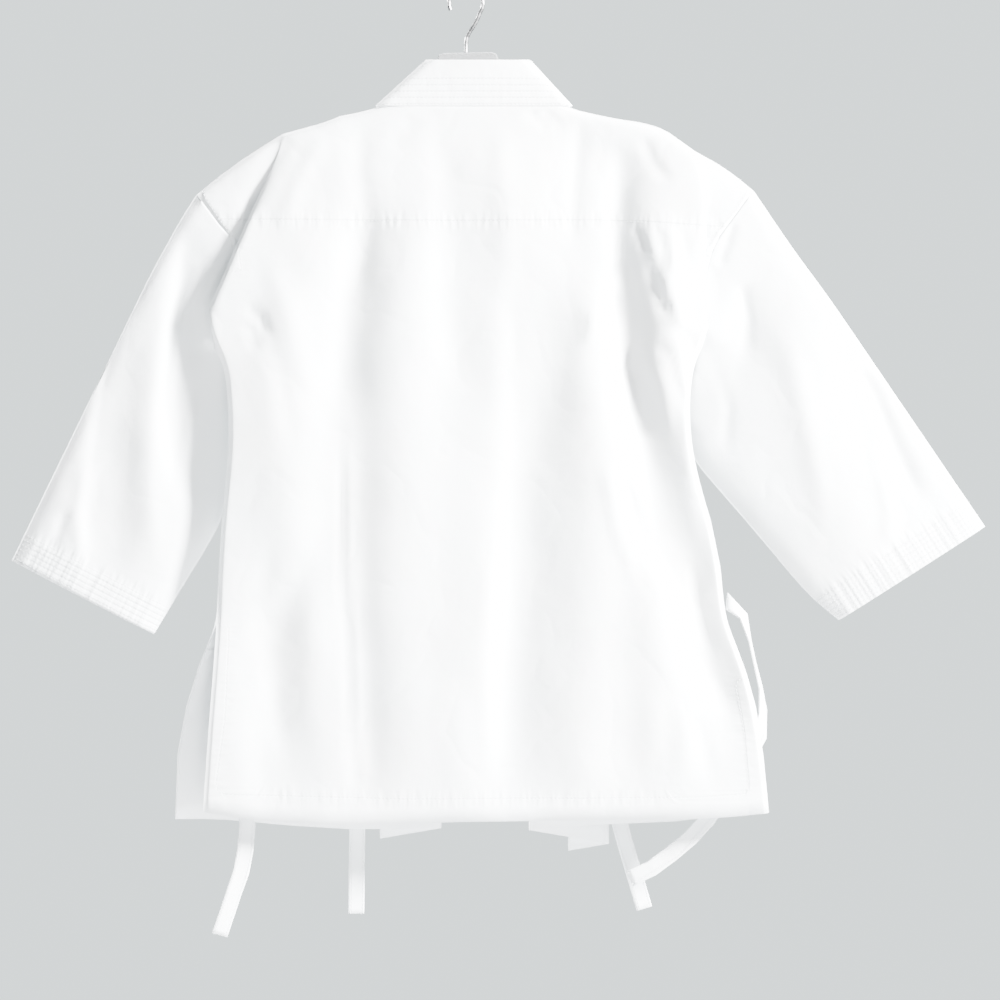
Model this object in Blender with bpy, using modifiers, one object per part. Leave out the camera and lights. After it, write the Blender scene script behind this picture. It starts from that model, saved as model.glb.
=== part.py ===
"""Karate gi jacket hung on a clear clothes hanger, with its ties undone and its fronts open.

Frame: metres, +Z up, the origin where the hook hangs. The front of the jacket faces -Y and
the wearer's left is +X. Lengths below are millimetres: x across, y to the back, and drop,
the distance below the hanging point. The cloth hangs flat, so every panel is a loft of
sections worked out from a few sizes and short tables, with a wall laid on it.
"""
import math
from collections import namedtuple

import bpy
from mathutils import Matrix, Vector

MM = 0.001

# Driving sizes, in millimetres
CLOTH = 1.2             # wall of one layer of canvas
BAND = 2.0              # wall of the neck band, three layers sewn together
TAPE = 1.6              # wall of a tie
SEAM = 0.45             # clearance between two pieces that meet edge to edge
BAND_SEAM = 1.0         # clearance along the neck band, which is thicker than the fronts
COLLAR_SEAM = 1.4       # clearance under the standing band, which curves round the neck
ARMHOLE_SEAM = 0.55     # clearance at the armholes, where the pieces meet at an angle
UNDERARM_CLEARANCE = 0.5    # what is added to it where the sleeve turns under the arm
NECK_DROP = 120.0       # neck seam and top of the shoulders
BAND_TOP_DROP = 73.0    # upper edge of the standing neck band
BACK_HEM_DROP = 830.0   # where the table of the back's sides ends
FRONT_HEM_DROP = 843.0
BAND_WIDTH = 50.0
TIE_WIDTH = 16.0
SHOULDER_ROLL = 7.0     # radius of the cloth over the hanger's arms
NECK_DEPTH = 9.5        # how far behind the hanger the neck seam stands
LEFT_SHOULDER_END = 186.0   # where the cloth leaves the hanger's arms
RIGHT_SHOULDER_END = -229.0
SHOULDER_BULGE = 3.0    # how far the shoulder line beyond the arms rises over a straight run

# Sections of the rounded shoulder, in degrees, and the drops of the sections under it
ROLL_ANGLES = (0, 22, 50, 90)
ARMHOLE_DROPS = (143, 165, 190, 217, 246, 274, 300, 322, 340)
SECTION_DROPS = ARMHOLE_DROPS + (356, 376, 396, 422, 456, 494, 533, 580, 612, 638, 676, 720, 770)

Outline = namedtuple("Outline", "x drop")
Side = namedtuple("Side", "drop ridge seam seam_drop tuck depth")
FrontSide = namedtuple("FrontSide", "drop seam seam_drop depth")
Edge = namedtuple("Edge", "drop fold turn")
Depth = namedtuple("Depth", "drop back front")
Fold = namedtuple("Fold", "height width path")
Station = namedtuple("Station", "x drop depth")
TiePoint = namedtuple("TiePoint", "x drop depth twist")
Mark = namedtuple("Mark", "drop x depth real_drop twist")

# The shoulder line and the hems, from the wearer's right (-x) to the left (+x)
SHOULDER_LINE = [
    Outline(-229, 164), Outline(-197, 141), Outline(-174, 135),
    Outline(-146, 131), Outline(-111, 123), Outline(-104, 120), Outline(88, 120),
    Outline(96, 123.5), Outline(128, 129), Outline(136, 134.5), Outline(146, 136.5),
    Outline(186, 147.5),
]
BACK_HEM = [
    Outline(-302, 825), Outline(-286, 827), Outline(-236, 831), Outline(-141, 832),
    Outline(20, 834), Outline(76, 836.6), Outline(153, 835.5), Outline(214, 832),
    Outline(262, 824),
]
FRONT_HEM = [
    Outline(-276, 830.5), Outline(-223, 835.5), Outline(-141, 839), Outline(-63, 845),
    Outline(25, 843), Outline(115, 844), Outline(199, 839), Outline(228, 837),
    Outline(291, 833),
]

# The back's two sides, outwards positive. ridge is the outermost edge of the cloth that
# hangs from the hanger's arm, seam is the armhole, side seam or slit edge, tuck is how far
# the cloth goes back under the ridge before it turns out to the seam, depth is the seam's y.
LEFT_SIDE = [
    Side(120, 186, 269, 207, 0, 5), Side(127, 188, 264, 214, 0, 5),
    Side(165, 200, 247, 237, 7, 6), Side(200, 213, 234, 254, 14, 6),
    Side(235, 226, 232, 275, 15, 6.5), Side(270, 238, 235, 299, 14, 7),
    Side(300, 249, 241, 322, 12, 6.5), Side(325, 258, 247, 342, 6, 5),
    Side(340, 257, 250, 352, 2, 4), Side(356, 252, 252, 360, 0, 4),
    Side(381, 241, 241, 381, 0, 4), Side(413, 238, 238, 413, 0, 4),
    Side(451, 236.5, 236.5, 451, 0, 4), Side(533, 244, 244, 533, 0, 4),
    Side(584, 247, 247, 584, 0, 4), Side(638, 249, 249, 638, 0, 6),
    Side(683, 252, 252, 683, 0, 14), Side(778, 259, 259, 776, 0, 17),
    Side(830, 262, 262, 824, 0, 18),
]
RIGHT_SIDE = [
    Side(120, 229, 287, 203, 0, 5), Side(127, 232, 282, 210, 0, 5),
    Side(165, 241, 266, 232, 6, 6), Side(200, 240, 250, 255, 12, 6),
    Side(235, 239, 243, 275, 14, 6.5), Side(270, 239, 239, 300, 14, 7),
    Side(300, 241, 238, 324, 10, 6.5), Side(325, 244, 238, 342, 4, 5),
    Side(340, 244, 238, 352, 1, 4), Side(356, 236, 236, 360, 0, 4),
    Side(381, 227, 227, 381, 0, 4), Side(421, 223, 223, 421, 0, 4),
    Side(469, 226, 226, 469, 0, 4), Side(523, 242, 242, 523, 0, 4),
    Side(587, 255, 255, 587, 0, 4), Side(625, 258, 258, 625, 0, 6),
    Side(676, 277, 277, 676, 0, 13), Side(740, 293, 293, 740, 0, 14),
    Side(830, 302, 302, 825, 0, 16),
]

# The fronts' outer edges: armhole, side seam and slit, outwards positive
LEFT_FRONT_SIDE = [
    FrontSide(120, 269, 207, -5), FrontSide(127, 264, 214, -5),
    FrontSide(165, 255, 236, -7), FrontSide(200, 249, 256, -8),
    FrontSide(235, 246, 278, -8), FrontSide(270, 246, 300, -7),
    FrontSide(300, 246, 322, -4), FrontSide(325, 248, 342, 0),
    FrontSide(340, 250, 352, 3), FrontSide(356, 252, 360, 3.5),
    FrontSide(381, 241, 381, 3.7), FrontSide(413, 238, 413, 3.8),
    FrontSide(451, 236.5, 451, 3.8), FrontSide(533, 244, 533, 3.8),
    FrontSide(584, 247, 584, 3.8), FrontSide(638, 250, 638, 4.5),
    FrontSide(676, 266, 677, 2), FrontSide(720, 279, 719, 0),
    FrontSide(770, 288, 766, -2), FrontSide(843, 291, 833, -4),
]
RIGHT_FRONT_SIDE = [
    FrontSide(120, 287, 203, -5), FrontSide(127, 282, 210, -5),
    FrontSide(165, 271, 231, -7), FrontSide(200, 262, 252, -8),
    FrontSide(235, 254, 276, -8), FrontSide(270, 247, 300, -7),
    FrontSide(300, 239, 324, -4), FrontSide(325, 238, 342, 0),
    FrontSide(340, 238, 352, 3), FrontSide(356, 236, 360, 3.5),
    FrontSide(381, 227, 381, 3.7), FrontSide(421, 223, 421, 3.8),
    FrontSide(469, 226, 469, 3.8), FrontSide(523, 242, 523, 3.8),
    FrontSide(587, 255, 587, 3.7), FrontSide(625, 258, 625, 4.4),
    FrontSide(676, 261, 676, -3), FrontSide(740, 268, 738, -8),
    FrontSide(843, 276, 830.5, -10),
]

# Where each front is folded back, outwards positive, and how far past that fold the seam
# of the band lies; a seam that is short of the fold has a negative turn.
LEFT_EDGE = [
    Edge(120, 40, -50), Edge(250, 39, -50), Edge(400, 36, -36), Edge(520, 32, 0),
    Edge(620, 30, 20), Edge(843, 25, 14),
]
RIGHT_EDGE = [
    Edge(120, 64, -42), Edge(230, 64, -40), Edge(400, 64, 8), Edge(520, 64, 48),
    Edge(633, 64, 74), Edge(843, 63, 80),
]
FOLD_RADIUS = 6.0           # of the first fold, where the front turns out
BAND_FOLD_RADIUS = 6.5      # of the second fold, where the right band turns in again
RIGHT_SECOND_FOLD = 143.0
NO_SECOND_FOLD = 500.0
TURNED_HEM_SLOPE = 0.17     # how much lower the turned layers hang at the hem

# How far the two layers hang from the plane of the hanger
DEPTHS = [
    Depth(120, 9.5, -8), Depth(127, 9.5, -8), Depth(200, 15, -12), Depth(320, 20, -15),
    Depth(450, 23, -16), Depth(640, 25, -17), Depth(843, 27, -18),
]

# The largest folds: troughs are negative on the back, as seen from behind
BACK_FOLDS = [
    Fold(-11, 24, [(99, 245), (118, 345), (125, 459), (122, 625), (108, 790)]),
    Fold(-6, 30, [(150, 520), (190, 670), (172, 770)]),
    Fold(7, 28, [(182, 330), (185, 450), (158, 640)]),
    Fold(6, 34, [(60, 300), (62, 560), (56, 760)]),
    Fold(-6, 30, [(2, 250), (4, 400)]),
    Fold(-8, 26, [(-112, 170), (-102, 268), (-89, 370), (-70, 459), (-57, 587), (-46, 780)]),
    Fold(7, 26, [(-20, 560), (4, 790)]),
    Fold(7, 22, [(-125, 330), (-132, 470), (-128, 620), (-118, 780)]),
    Fold(-13, 21, [(-156, 180), (-150, 236), (-155, 370), (-178, 434), (-203, 510),
                   (-226, 580), (-235, 660), (-262, 730)]),
    Fold(6, 20, [(-196, 260), (-197, 400)]),
    Fold(8, 24, [(-188, 620), (-205, 780)]),
]
FRONT_FOLDS = [
    Fold(6, 22, [(140, 240), (122, 420), (110, 640), (118, 790)]),
    Fold(-6, 26, [(192, 330), (180, 520), (160, 760)]),
    Fold(6, 20, [(232, 640), (226, 790)]),
    Fold(7, 22, [(-142, 230), (-168, 420), (-196, 620), (-204, 790)]),
    Fold(-6, 24, [(-196, 300), (-130, 520), (-120, 700)]),
    Fold(5, 20, [(-112, 330), (-98, 560)]),
]
SLEEVE_FOLDS = [
    Fold(-5, 20, [(268, 250), (277, 310), (281, 396), (262, 500)]),
    Fold(-6, 22, [(329, 345), (345, 459), (348, 560)]),
    Fold(4, 20, [(318, 440), (305, 560)]),
    Fold(-6, 24, [(-389, 377), (-427, 459), (-452, 515)]),
    Fold(-5, 16, [(-277, 300), (-281, 360)]),
    Fold(5, 20, [(-330, 350), (-352, 450), (-385, 560)]),
]

# Sleeves, outwards positive: the upper and the lower fold of each flat tube
LEFT_SLEEVE_TOP = [
    Station(269, 207, 0), Station(285, 232, 0), Station(316, 288, 0), Station(454.5, 574, 0),
]
LEFT_SLEEVE_UNDER = [
    Station(252, 353, 2), Station(258, 364, 0), Station(256, 384, -4), Station(248, 406, -9),
    Station(238, 432, -14), Station(233, 460, -16), Station(237, 500, -14),
    Station(247, 537, -10), Station(313.3, 647, 0),
]
RIGHT_SLEEVE_TOP = [
    Station(287, 203, 0), Station(325, 259, 0), Station(365, 313, 0), Station(519.5, 540, 0),
]
RIGHT_SLEEVE_UNDER = [
    Station(240, 353, 2), Station(244, 364, 0), Station(243, 382, -3), Station(236, 404, -8),
    Station(226, 430, -14), Station(221, 449, -16), Station(228, 472, -13), Station(291, 545, -4),
    Station(344, 609, 0), Station(374, 633, 0),
]
SLEEVE_HALF_DEPTHS = (5, 7, 11, 14, 14, 14, 13, 12)
SLEEVE_SECTIONS = 15        # rings along a sleeve
ARMHOLE_REACH = 0.32        # share of the sleeve over which the armhole's curve fades
UNDERARM_REACH = 0.1        # how much shorter that is at the underarm
UNDERARM_STEP = 2.2         # how far the sleeve starts in front of the body there

# The side ties start on the back at the tops of the slits: inside it on the left, at its
# edge on the right
LEFT_SIDE_TIE = [
    TiePoint(234, 642, 22.0, 0), TiePoint(233, 672, 22.0, 0), TiePoint(230, 710, 17, 0),
    TiePoint(224, 770, 6, 0), TiePoint(219, 832, 2, 0), TiePoint(222, 872, 2, 10),
    TiePoint(232, 905, 1, 25), TiePoint(247, 949, -1, 20),
]
RIGHT_SIDE_TIE = [
    TiePoint(-260.4, 614, 12, 0), TiePoint(-267, 615, 14, 10), TiePoint(-275, 624, 15, 45),
    TiePoint(-281, 641, 14, 78), TiePoint(-286, 665, 12, 82), TiePoint(-292, 690, 9, 80),
    TiePoint(-297, 715, 5, 70), TiePoint(-297, 738, 1, 40), TiePoint(-285, 765, 0, 10),
    TiePoint(-262, 802, 0, 0), TiePoint(-238, 838, 0, 0), TiePoint(-209, 865, -2, 0),
    TiePoint(-180, 886, -4, 0), TiePoint(-164, 893, -5, 0),
]
# On the front ties, depth is the distance in front of the layer that they lie on
LEFT_FRONT_TIE = [
    TiePoint(95, 618, 0, 0), TiePoint(101, 640, 0, 0), TiePoint(107, 690, 0, 0),
    TiePoint(109, 770, 0, 0), TiePoint(110, 850, 0, 0), TiePoint(111, 930, 0, 10),
]
RIGHT_FRONT_TIE = [
    TiePoint(-101, 620, 0, 0), TiePoint(-111, 670, 0, 0), TiePoint(-138, 770, 2, 0),
    TiePoint(-155, 840, 0, 0), TiePoint(-168, 885, 0, 10), TiePoint(-180, 926, 0, 10),
]
TIE_SECTIONS = 14

# Hanger: a flat moulded bar with a hump at the neck, tilted a little to the wearer's left
HANGER_HALF_DEPTH = 3.6
HANGER_EDGE = 2.2
ARM_TOP_DROP = 103.6
ARM_SLOPE = 0.221
ARM_HEIGHT = 12.0
ARM_HALF_SPAN = 183.0
HUMP_HALF_WIDTH = 31.0
HUMP_DROP = 65.0
HUMP_BAR = 9.0
HANGER_TILT = 0.022         # radians
HOOK_WIRE = 2.0             # radius
HOOK_BEND = 17.0            # radius of the hook's bend, to the middle of the wire
HOOK_FOOT_DROP = 64.6


def clear_scene():
    for item in list(bpy.data.objects):
        bpy.data.objects.remove(item, do_unlink=True)


def collection_named(name):
    group = bpy.data.collections.new(name)
    bpy.context.scene.collection.children.link(group)
    return group


def finish(name, color, roughness, metallic=0.0, transmission=0.0):
    material = bpy.data.materials.new(name)
    material.use_nodes = True
    shader = material.node_tree.nodes["Principled BSDF"]
    shader.inputs["Base Color"].default_value = (*color, 1.0)
    shader.inputs["Roughness"].default_value = roughness
    shader.inputs["Metallic"].default_value = metallic
    shader.inputs["Transmission Weight"].default_value = transmission
    return material


# ---------------------------------------------------------------- curves through the tables
def smooth_value(table, column, drop):
    """The column's value at this drop, on a curve through the rows with no overshoot."""
    stations = [row.drop for row in table]
    values = [getattr(row, column) for row in table]
    if drop <= stations[0]:
        return values[0]
    if drop >= stations[-1]:
        return values[-1]
    k = next(i for i in range(len(stations) - 1) if drop <= stations[i + 1])

    def rise(i):
        return (values[i + 1] - values[i]) / (stations[i + 1] - stations[i])

    def slope(i):
        if i == 0 or i == len(values) - 1:
            return rise(min(i, len(values) - 2))
        before, after = rise(i - 1), rise(i)
        return 2 * before * after / (before + after) if before * after > 0 else 0.0

    step = stations[k + 1] - stations[k]
    t = (drop - stations[k]) / step
    return ((2 * t ** 3 - 3 * t ** 2 + 1) * values[k] + (t ** 3 - 2 * t ** 2 + t) * step * slope(k)
            + (3 * t ** 2 - 2 * t ** 3) * values[k + 1] + (t ** 3 - t ** 2) * step * slope(k + 1))


def line_drop(line, x):
    """Drop of an outline at x, on straight runs between its points."""
    if x <= line[0].x:
        return line[0].drop
    for left, right in zip(line, line[1:]):
        if x <= right.x:
            return left.drop + (right.drop - left.drop) * (x - left.x) / (right.x - left.x)
    return line[-1].drop


def soft_step(value):
    t = min(1.0, max(0.0, value))
    return t * t * (3 - 2 * t)


def blend(a, b, share):
    return a + (b - a) * share


def distance_to_path(x, drop, path):
    nearest = math.inf
    for (ax, ad), (bx, bd) in zip(path, path[1:]):
        length = (bx - ax) ** 2 + (bd - ad) ** 2
        t = min(1.0, max(0.0, ((x - ax) * (bx - ax) + (drop - ad) * (bd - ad)) / length))
        nearest = min(nearest, math.hypot(x - blend(ax, bx, t), drop - blend(ad, bd, t)))
    return nearest


def fold_height(folds, x, drop):
    return sum(fold.height * math.exp(-(distance_to_path(x, drop, fold.path) / fold.width) ** 2)
               for fold in folds)


def along(path, distances):
    """Points on a polyline at these distances from its start."""
    lengths = [0.0]
    for a, b in zip(path, path[1:]):
        lengths.append(lengths[-1] + (b - a).length)
    points = []
    for distance in distances:
        k = max(i for i in range(len(path) - 1) if lengths[i] <= max(0.0, distance))
        step = lengths[k + 1] - lengths[k]
        points.append(path[k].lerp(path[k + 1], (distance - lengths[k]) / step))
    return points


# ------------------------------------------------------------------------ making the pieces
def place(x, depth, drop):
    return Vector((x, depth, -drop)) * MM


def cloth(name, rows, wall, material, group, tube=False):
    """A wall of cloth: a loft through rows of points, given its thickness by Solidify."""
    width = len(rows[0])
    steps = width if tube else width - 1
    faces = []
    for i in range(len(rows) - 1):
        for j in range(steps):
            k = (j + 1) % width
            faces.append((i * width + j, i * width + k, (i + 1) * width + k, (i + 1) * width + j))
    mesh = bpy.data.meshes.new(name)
    mesh.from_pydata([point for row in rows for point in row], [], faces)
    mesh.shade_smooth()
    mesh.materials.append(material)
    piece = bpy.data.objects.new(name, mesh)
    group.objects.link(piece)
    wall_modifier = piece.modifiers.new("wall", "SOLIDIFY")
    wall_modifier.thickness = wall * MM
    wall_modifier.offset = 0.0
    wall_modifier.use_quality_normals = True
    return piece


def sections(hem_drop):
    """(drop, roll angle) of each section of a panel, from the shoulder to the hem."""
    rolled = [(NECK_DROP + SHOULDER_ROLL * (1 - math.cos(math.radians(angle))),
               math.radians(angle)) for angle in ROLL_ANGLES]
    return rolled + [(drop, math.pi / 2) for drop in (*SECTION_DROPS, hem_drop)]


def top_share(drop):
    """How much of the shoulder line's slope a section at this drop still has."""
    return 1.0 - soft_step((drop - NECK_DROP - 20) / 215)


def section_drop(x, drop, hem, hem_drop):
    fall = line_drop(SHOULDER_LINE, x) - NECK_DROP
    rise = (line_drop(hem, x) - hem_drop) * soft_step((drop - 640) / (hem_drop - 640))
    return drop + fall * top_share(drop) + rise


def side_drop(drop, end_drop, seam_drop, share):
    """Drop between the end of the arm's shoulder line (share 0) and the seam (share 1)."""
    bulge = SHOULDER_BULGE * math.sin(math.pi * share) * top_share(drop)
    return blend(end_drop, seam_drop, share) - bulge


# ---------------------------------------------------------------------------------- the back
BACK_COLUMNS = 22
SIDE_COLUMNS = 8
CORNER = 6.0                # how far the side's round corner reaches in from the ridge
PLEAT_TURN = 3.5            # radius of the turns under the ridge
SEAM_SHARE_FOLDED = (1.0, 0.75, 0.5, 0.42, 0.34, 0.12, 0.04, 0.0)


def back_depth(x, drop):
    return smooth_value(DEPTHS, "back", drop) + fold_height(BACK_FOLDS, x, drop)


def shoulder_edge(x):
    """Depth of the top edge: at the hanger's plane on the shoulders, behind it at the neck."""
    inside = min(x + 106, 90 - x)
    if inside <= 0:
        return SEAM
    return SEAM + (NECK_DEPTH - SEAM) * math.sin(math.pi / 2 * min(1.0, inside / 14))


def side_points(table, sign, drop, roll):
    """Points from the seam to the ridge: (x, depth, drop), for one side of the back."""
    ridge, seam, seam_drop, tuck, seam_depth = (
        smooth_value(table, column, drop)
        for column in ("ridge", "seam", "seam_drop", "tuck", "depth"))
    seam_depth = blend(SEAM, seam_depth, math.sin(roll))
    ridge_drop = section_drop(sign * ridge, drop, BACK_HEM, BACK_HEM_DROP)
    top = blend(shoulder_edge(sign * ridge), back_depth(sign * (ridge - CORNER), ridge_drop),
                math.sin(roll))
    under = min(ridge, seam) - tuck
    middle = (top + seam_depth) / 2
    folded = [(seam, seam_depth), ((seam + under) / 2 + 1, seam_depth),
              (under + PLEAT_TURN, seam_depth), (under, (seam_depth + middle) / 2),
              (under + PLEAT_TURN, middle), (ridge - PLEAT_TURN, middle),
              (ridge, (middle + top) / 2), (ridge - PLEAT_TURN, top)]
    share = soft_step(tuck / 11)
    points = []
    for k, (folded_x, folded_depth) in enumerate(folded):
        q = k / (SIDE_COLUMNS - 1)
        angle = q * math.pi / 2
        out = max(0.0, 1 - 2 * q)
        plain_x = blend(ridge, seam, out) - CORNER * (1 - math.cos(angle))
        plain_depth = blend(seam_depth, top, math.sin(angle))
        x = blend(plain_x, folded_x, share)
        depth = blend(plain_depth, folded_depth, share)
        seam_share = blend(out, SEAM_SHARE_FOLDED[k], share)
        end_drop = section_drop(sign * min(x, ridge), drop, BACK_HEM, BACK_HEM_DROP)
        points.append((sign * x, depth, side_drop(drop, end_drop, seam_drop, seam_share)))
    return points


def back_row(drop, roll):
    left = side_points(LEFT_SIDE, 1, drop, roll)
    right = side_points(RIGHT_SIDE, -1, drop, roll)
    start, end = left[-1][0], right[-1][0]
    middle = []
    for k in range(1, BACK_COLUMNS):
        x = blend(start, end, k / BACK_COLUMNS)
        real_drop = section_drop(x, drop, BACK_HEM, BACK_HEM_DROP)
        depth = blend(shoulder_edge(x), back_depth(x, real_drop), math.sin(roll))
        middle.append((x, depth, real_drop))
    return [place(*point) for point in left + middle + right[::-1]]


def make_back(material, group):
    rows = [back_row(drop, roll) for drop, roll in sections(BACK_HEM_DROP)]
    return cloth("back", rows, CLOTH, material, group)


# ------------------------------------------------------------------ the fronts and the band
SIDE_SWEEP = 40.0           # width over which a front falls from the side seam to its layer
SIDE_CORNER = 3.0
SIDE_BLEND = 60.0           # width over which a section's drop goes over to the seam's
PATH_STEP = 5.0
BAND_OFFSETS = (0, 1.5, 7, 14, 21, 28, 35, 42, 50)
LEFT_DENSE = (0, 1.5, 6, 12, 18, 24, 31, 40)
RIGHT_DENSE = (0, 1.5, 6, 11, 16, 21, 26, 31, 36, 41, 46, 52, 58, 64, 70, 77, 84, 92)
FRONT_COLUMNS = 10
TIE_SPREAD = 0.2            # a tie lies on a wider stretch of the front the lower it hangs
TIE_SEAT = (BAND + TAPE) / 2 + SEAM

FrontCut = namedtuple("FrontCut", "sign side edge second_fold dense")
LEFT_CUT = FrontCut(1, LEFT_FRONT_SIDE, LEFT_EDGE, NO_SECOND_FOLD, LEFT_DENSE)
RIGHT_CUT = FrontCut(-1, RIGHT_FRONT_SIDE, RIGHT_EDGE, RIGHT_SECOND_FOLD, RIGHT_DENSE)


def front_depth(x, drop):
    return smooth_value(DEPTHS, "front", drop) + fold_height(FRONT_FOLDS, x, drop)


def front_path(cut, drop):
    """One section of a front, from its side over the folds at its edge: (x, depth), outwards
    positive, and the distance along it to the first fold."""
    seam = smooth_value(cut.side, "seam", drop)
    seam_depth = smooth_value(cut.side, "depth", drop) - SEAM
    fold = smooth_value(cut.edge, "fold", drop)
    wall = SIDE_CORNER * soft_step((drop - ARMHOLE_DROPS[-2]) / 40)
    path = [Vector((seam - SIDE_CORNER * (1 - math.cos(math.radians(angle))),
                    seam_depth - wall * math.sin(math.radians(angle))))
            for angle in (0, 30, 60)]

    def layer(x, offset):
        inward = min(1.0, max(0.0, (seam - x) / SIDE_SWEEP))
        share = 0.5 + 0.5 * math.cos(math.pi * inward)
        edge = seam_depth - wall
        return Vector((x, blend(front_depth(cut.sign * x, drop), edge, share) - offset))

    x = seam - SIDE_CORNER
    while x > fold + FOLD_RADIUS:
        path.append(layer(x, 0))
        x -= PATH_STEP
    path += turn(layer(fold + FOLD_RADIUS, 0), FOLD_RADIUS, -1)
    to_fold = sum((b - a).length for a, b in zip(path, path[1:])) - math.pi * FOLD_RADIUS / 2
    x = fold + FOLD_RADIUS + PATH_STEP
    while x < min(cut.second_fold - BAND_FOLD_RADIUS, fold + 130):
        path.append(layer(x, 2 * FOLD_RADIUS))
        x += PATH_STEP
    if cut.second_fold < NO_SECOND_FOLD:
        start = layer(cut.second_fold - BAND_FOLD_RADIUS, 2 * FOLD_RADIUS)
        path += turn(start, BAND_FOLD_RADIUS, 1)
        x = cut.second_fold - BAND_FOLD_RADIUS - PATH_STEP
        while x > cut.second_fold - 90:
            path.append(layer(x, 2 * FOLD_RADIUS + 2 * BAND_FOLD_RADIUS))
            x -= PATH_STEP
    return path, to_fold


def turn(start, radius, side):
    """Half a circle of cloth from start, towards the front; side says which way it bulges."""
    return [Vector((start.x + side * radius * math.sin(math.radians(angle)),
                    start.y - radius * (1 - math.cos(math.radians(angle)))))
            for angle in range(0, 181, 20)]


def front_drop(cut, drop, point, distance, to_fold):
    """Drop of a point of a front's section, with the shoulder line, the hem and the side."""
    hem_share = soft_step((drop - 640) / (FRONT_HEM_DROP - 640))
    past = max(0.0, distance - to_fold)
    if past > 0:
        hem_x = cut.sign * smooth_value(cut.edge, "fold", drop)
        hem_rise = line_drop(FRONT_HEM, hem_x) - FRONT_HEM_DROP
        return drop + (hem_rise + TURNED_HEM_SLOPE * past) * hem_share
    shoulder_end = abs(LEFT_SHOULDER_END if cut.sign > 0 else RIGHT_SHOULDER_END)
    seam = smooth_value(cut.side, "seam", drop)
    end_drop = section_drop(cut.sign * point.x, drop, FRONT_HEM, FRONT_HEM_DROP)
    reach = max(seam - shoulder_end, SIDE_BLEND * soft_step((drop - NECK_DROP) / 120))
    share = min(1.0, max(0.0, 1 - (seam - point.x) / reach))
    return side_drop(drop, end_drop, smooth_value(cut.side, "seam_drop", drop), share)


def front_rows(cut):
    rows = []
    first = SIDE_CORNER * math.pi / 2
    for drop, roll in sections(FRONT_HEM_DROP):
        path, to_fold = front_path(cut, drop)
        end = to_fold + smooth_value(cut.edge, "turn", drop)
        dense = [end - offset for offset in cut.dense]
        wide = [blend(first, dense[-1], k / FRONT_COLUMNS) for k in range(FRONT_COLUMNS)]
        distances = [0.0, first / 2] + wide + dense[::-1]
        rows.append([place(cut.sign * point.x, blend(-SEAM, point.y, math.sin(roll)),
                           front_drop(cut, drop, point, distance, to_fold))
                     for distance, point in zip(distances, along(path, distances))])
    return rows


def band_rows(cut):
    rows = []
    for drop, roll in sections(FRONT_HEM_DROP):
        path, to_fold = front_path(cut, drop)
        start = to_fold + smooth_value(cut.edge, "turn", drop) + BAND_SEAM
        distances = [start + offset for offset in BAND_OFFSETS]
        standing = 1 - soft_step((drop - NECK_DROP - SHOULDER_ROLL) / 110)
        rise = (NECK_DROP - BAND_TOP_DROP) * standing / BAND_WIDTH
        rows.append([place(cut.sign * point.x, blend(-BAND_SEAM, point.y, math.sin(roll)),
                           front_drop(cut, drop, point, distance, to_fold) - rise * offset)
                     for offset, distance, point
                     in zip(BAND_OFFSETS, distances, along(path, distances))])
    return rows


def on_band(cut, table):
    """A tie's route over the outermost layer of a front, and straight down below the hem."""
    route = []
    for row in table:
        path, _ = front_path(cut, min(row.drop, FRONT_HEM_DROP))
        reach = TIE_SPREAD * (row.drop - table[0].drop + 55)
        near = [point.y for point in path if abs(cut.sign * point.x - row.x) < reach]
        route.append(TiePoint(row.x, row.drop, min(near) - TIE_SEAT - row.depth, row.twist))
    return route


# --------------------------------------------------------------------------------- the collar
COLLAR_ANGLES = (0, 22, 50, 90)
COLLAR_ROUND = 9.0          # radius of the band where it turns to the front
COLLAR_COLUMNS = 9
COLLAR_HEIGHT_STEPS = 4


def collar_rows():
    """The standing band, from its fold over the left front to its fold over the right."""
    rows = []
    for k in range(COLLAR_HEIGHT_STEPS + 1):
        up = k / COLLAR_HEIGHT_STEPS
        drop = blend(NECK_DROP - COLLAR_SEAM, BAND_TOP_DROP, up)
        left = blend(90, 40, up)
        right = blend(-106, -64, up)
        bulge = 2.0 * math.sin(math.pi * up / 2)
        ends = [(COLLAR_ROUND * (1 - math.cos(math.radians(angle))),
                 SEAM + (NECK_DEPTH - SEAM) * math.sin(math.radians(angle)))
                for angle in COLLAR_ANGLES]
        points = [(left - inward, depth) for inward, depth in ends]
        for j in range(1, COLLAR_COLUMNS):
            across = j / COLLAR_COLUMNS
            x = blend(left - COLLAR_ROUND, right + COLLAR_ROUND, across)
            points.append((x, NECK_DEPTH + bulge * math.sin(math.pi * across)))
        points += [(right + inward, depth) for inward, depth in ends[::-1]]
        rows.append([place(x, depth, drop) for x, depth in points])
    return rows


# -------------------------------------------------------------------------------- the sleeves
Sleeve = namedtuple("Sleeve", "sign top under back_side front_side")
LEFT_SLEEVE = Sleeve(1, LEFT_SLEEVE_TOP, LEFT_SLEEVE_UNDER, LEFT_SIDE, LEFT_FRONT_SIDE)
RIGHT_SLEEVE = Sleeve(-1, RIGHT_SLEEVE_TOP, RIGHT_SLEEVE_UNDER, RIGHT_SIDE, RIGHT_FRONT_SIDE)
ARMHOLE_SECTIONS = (NECK_DROP, NECK_DROP + SHOULDER_ROLL, *ARMHOLE_DROPS)


def armhole_points(table):
    """The armhole seam at the panels' sections, from the shoulder to the underarm, and each
    point's share of its length."""
    seam = [Vector([smooth_value(table, column, drop) for column in ("seam", "depth", "seam_drop")])
            for drop in ARMHOLE_SECTIONS]
    lengths = [0.0]
    for a, b in zip(seam, seam[1:]):
        lengths.append(lengths[-1] + (b - a).length)
    return seam, [length / lengths[-1] for length in lengths]


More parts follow.
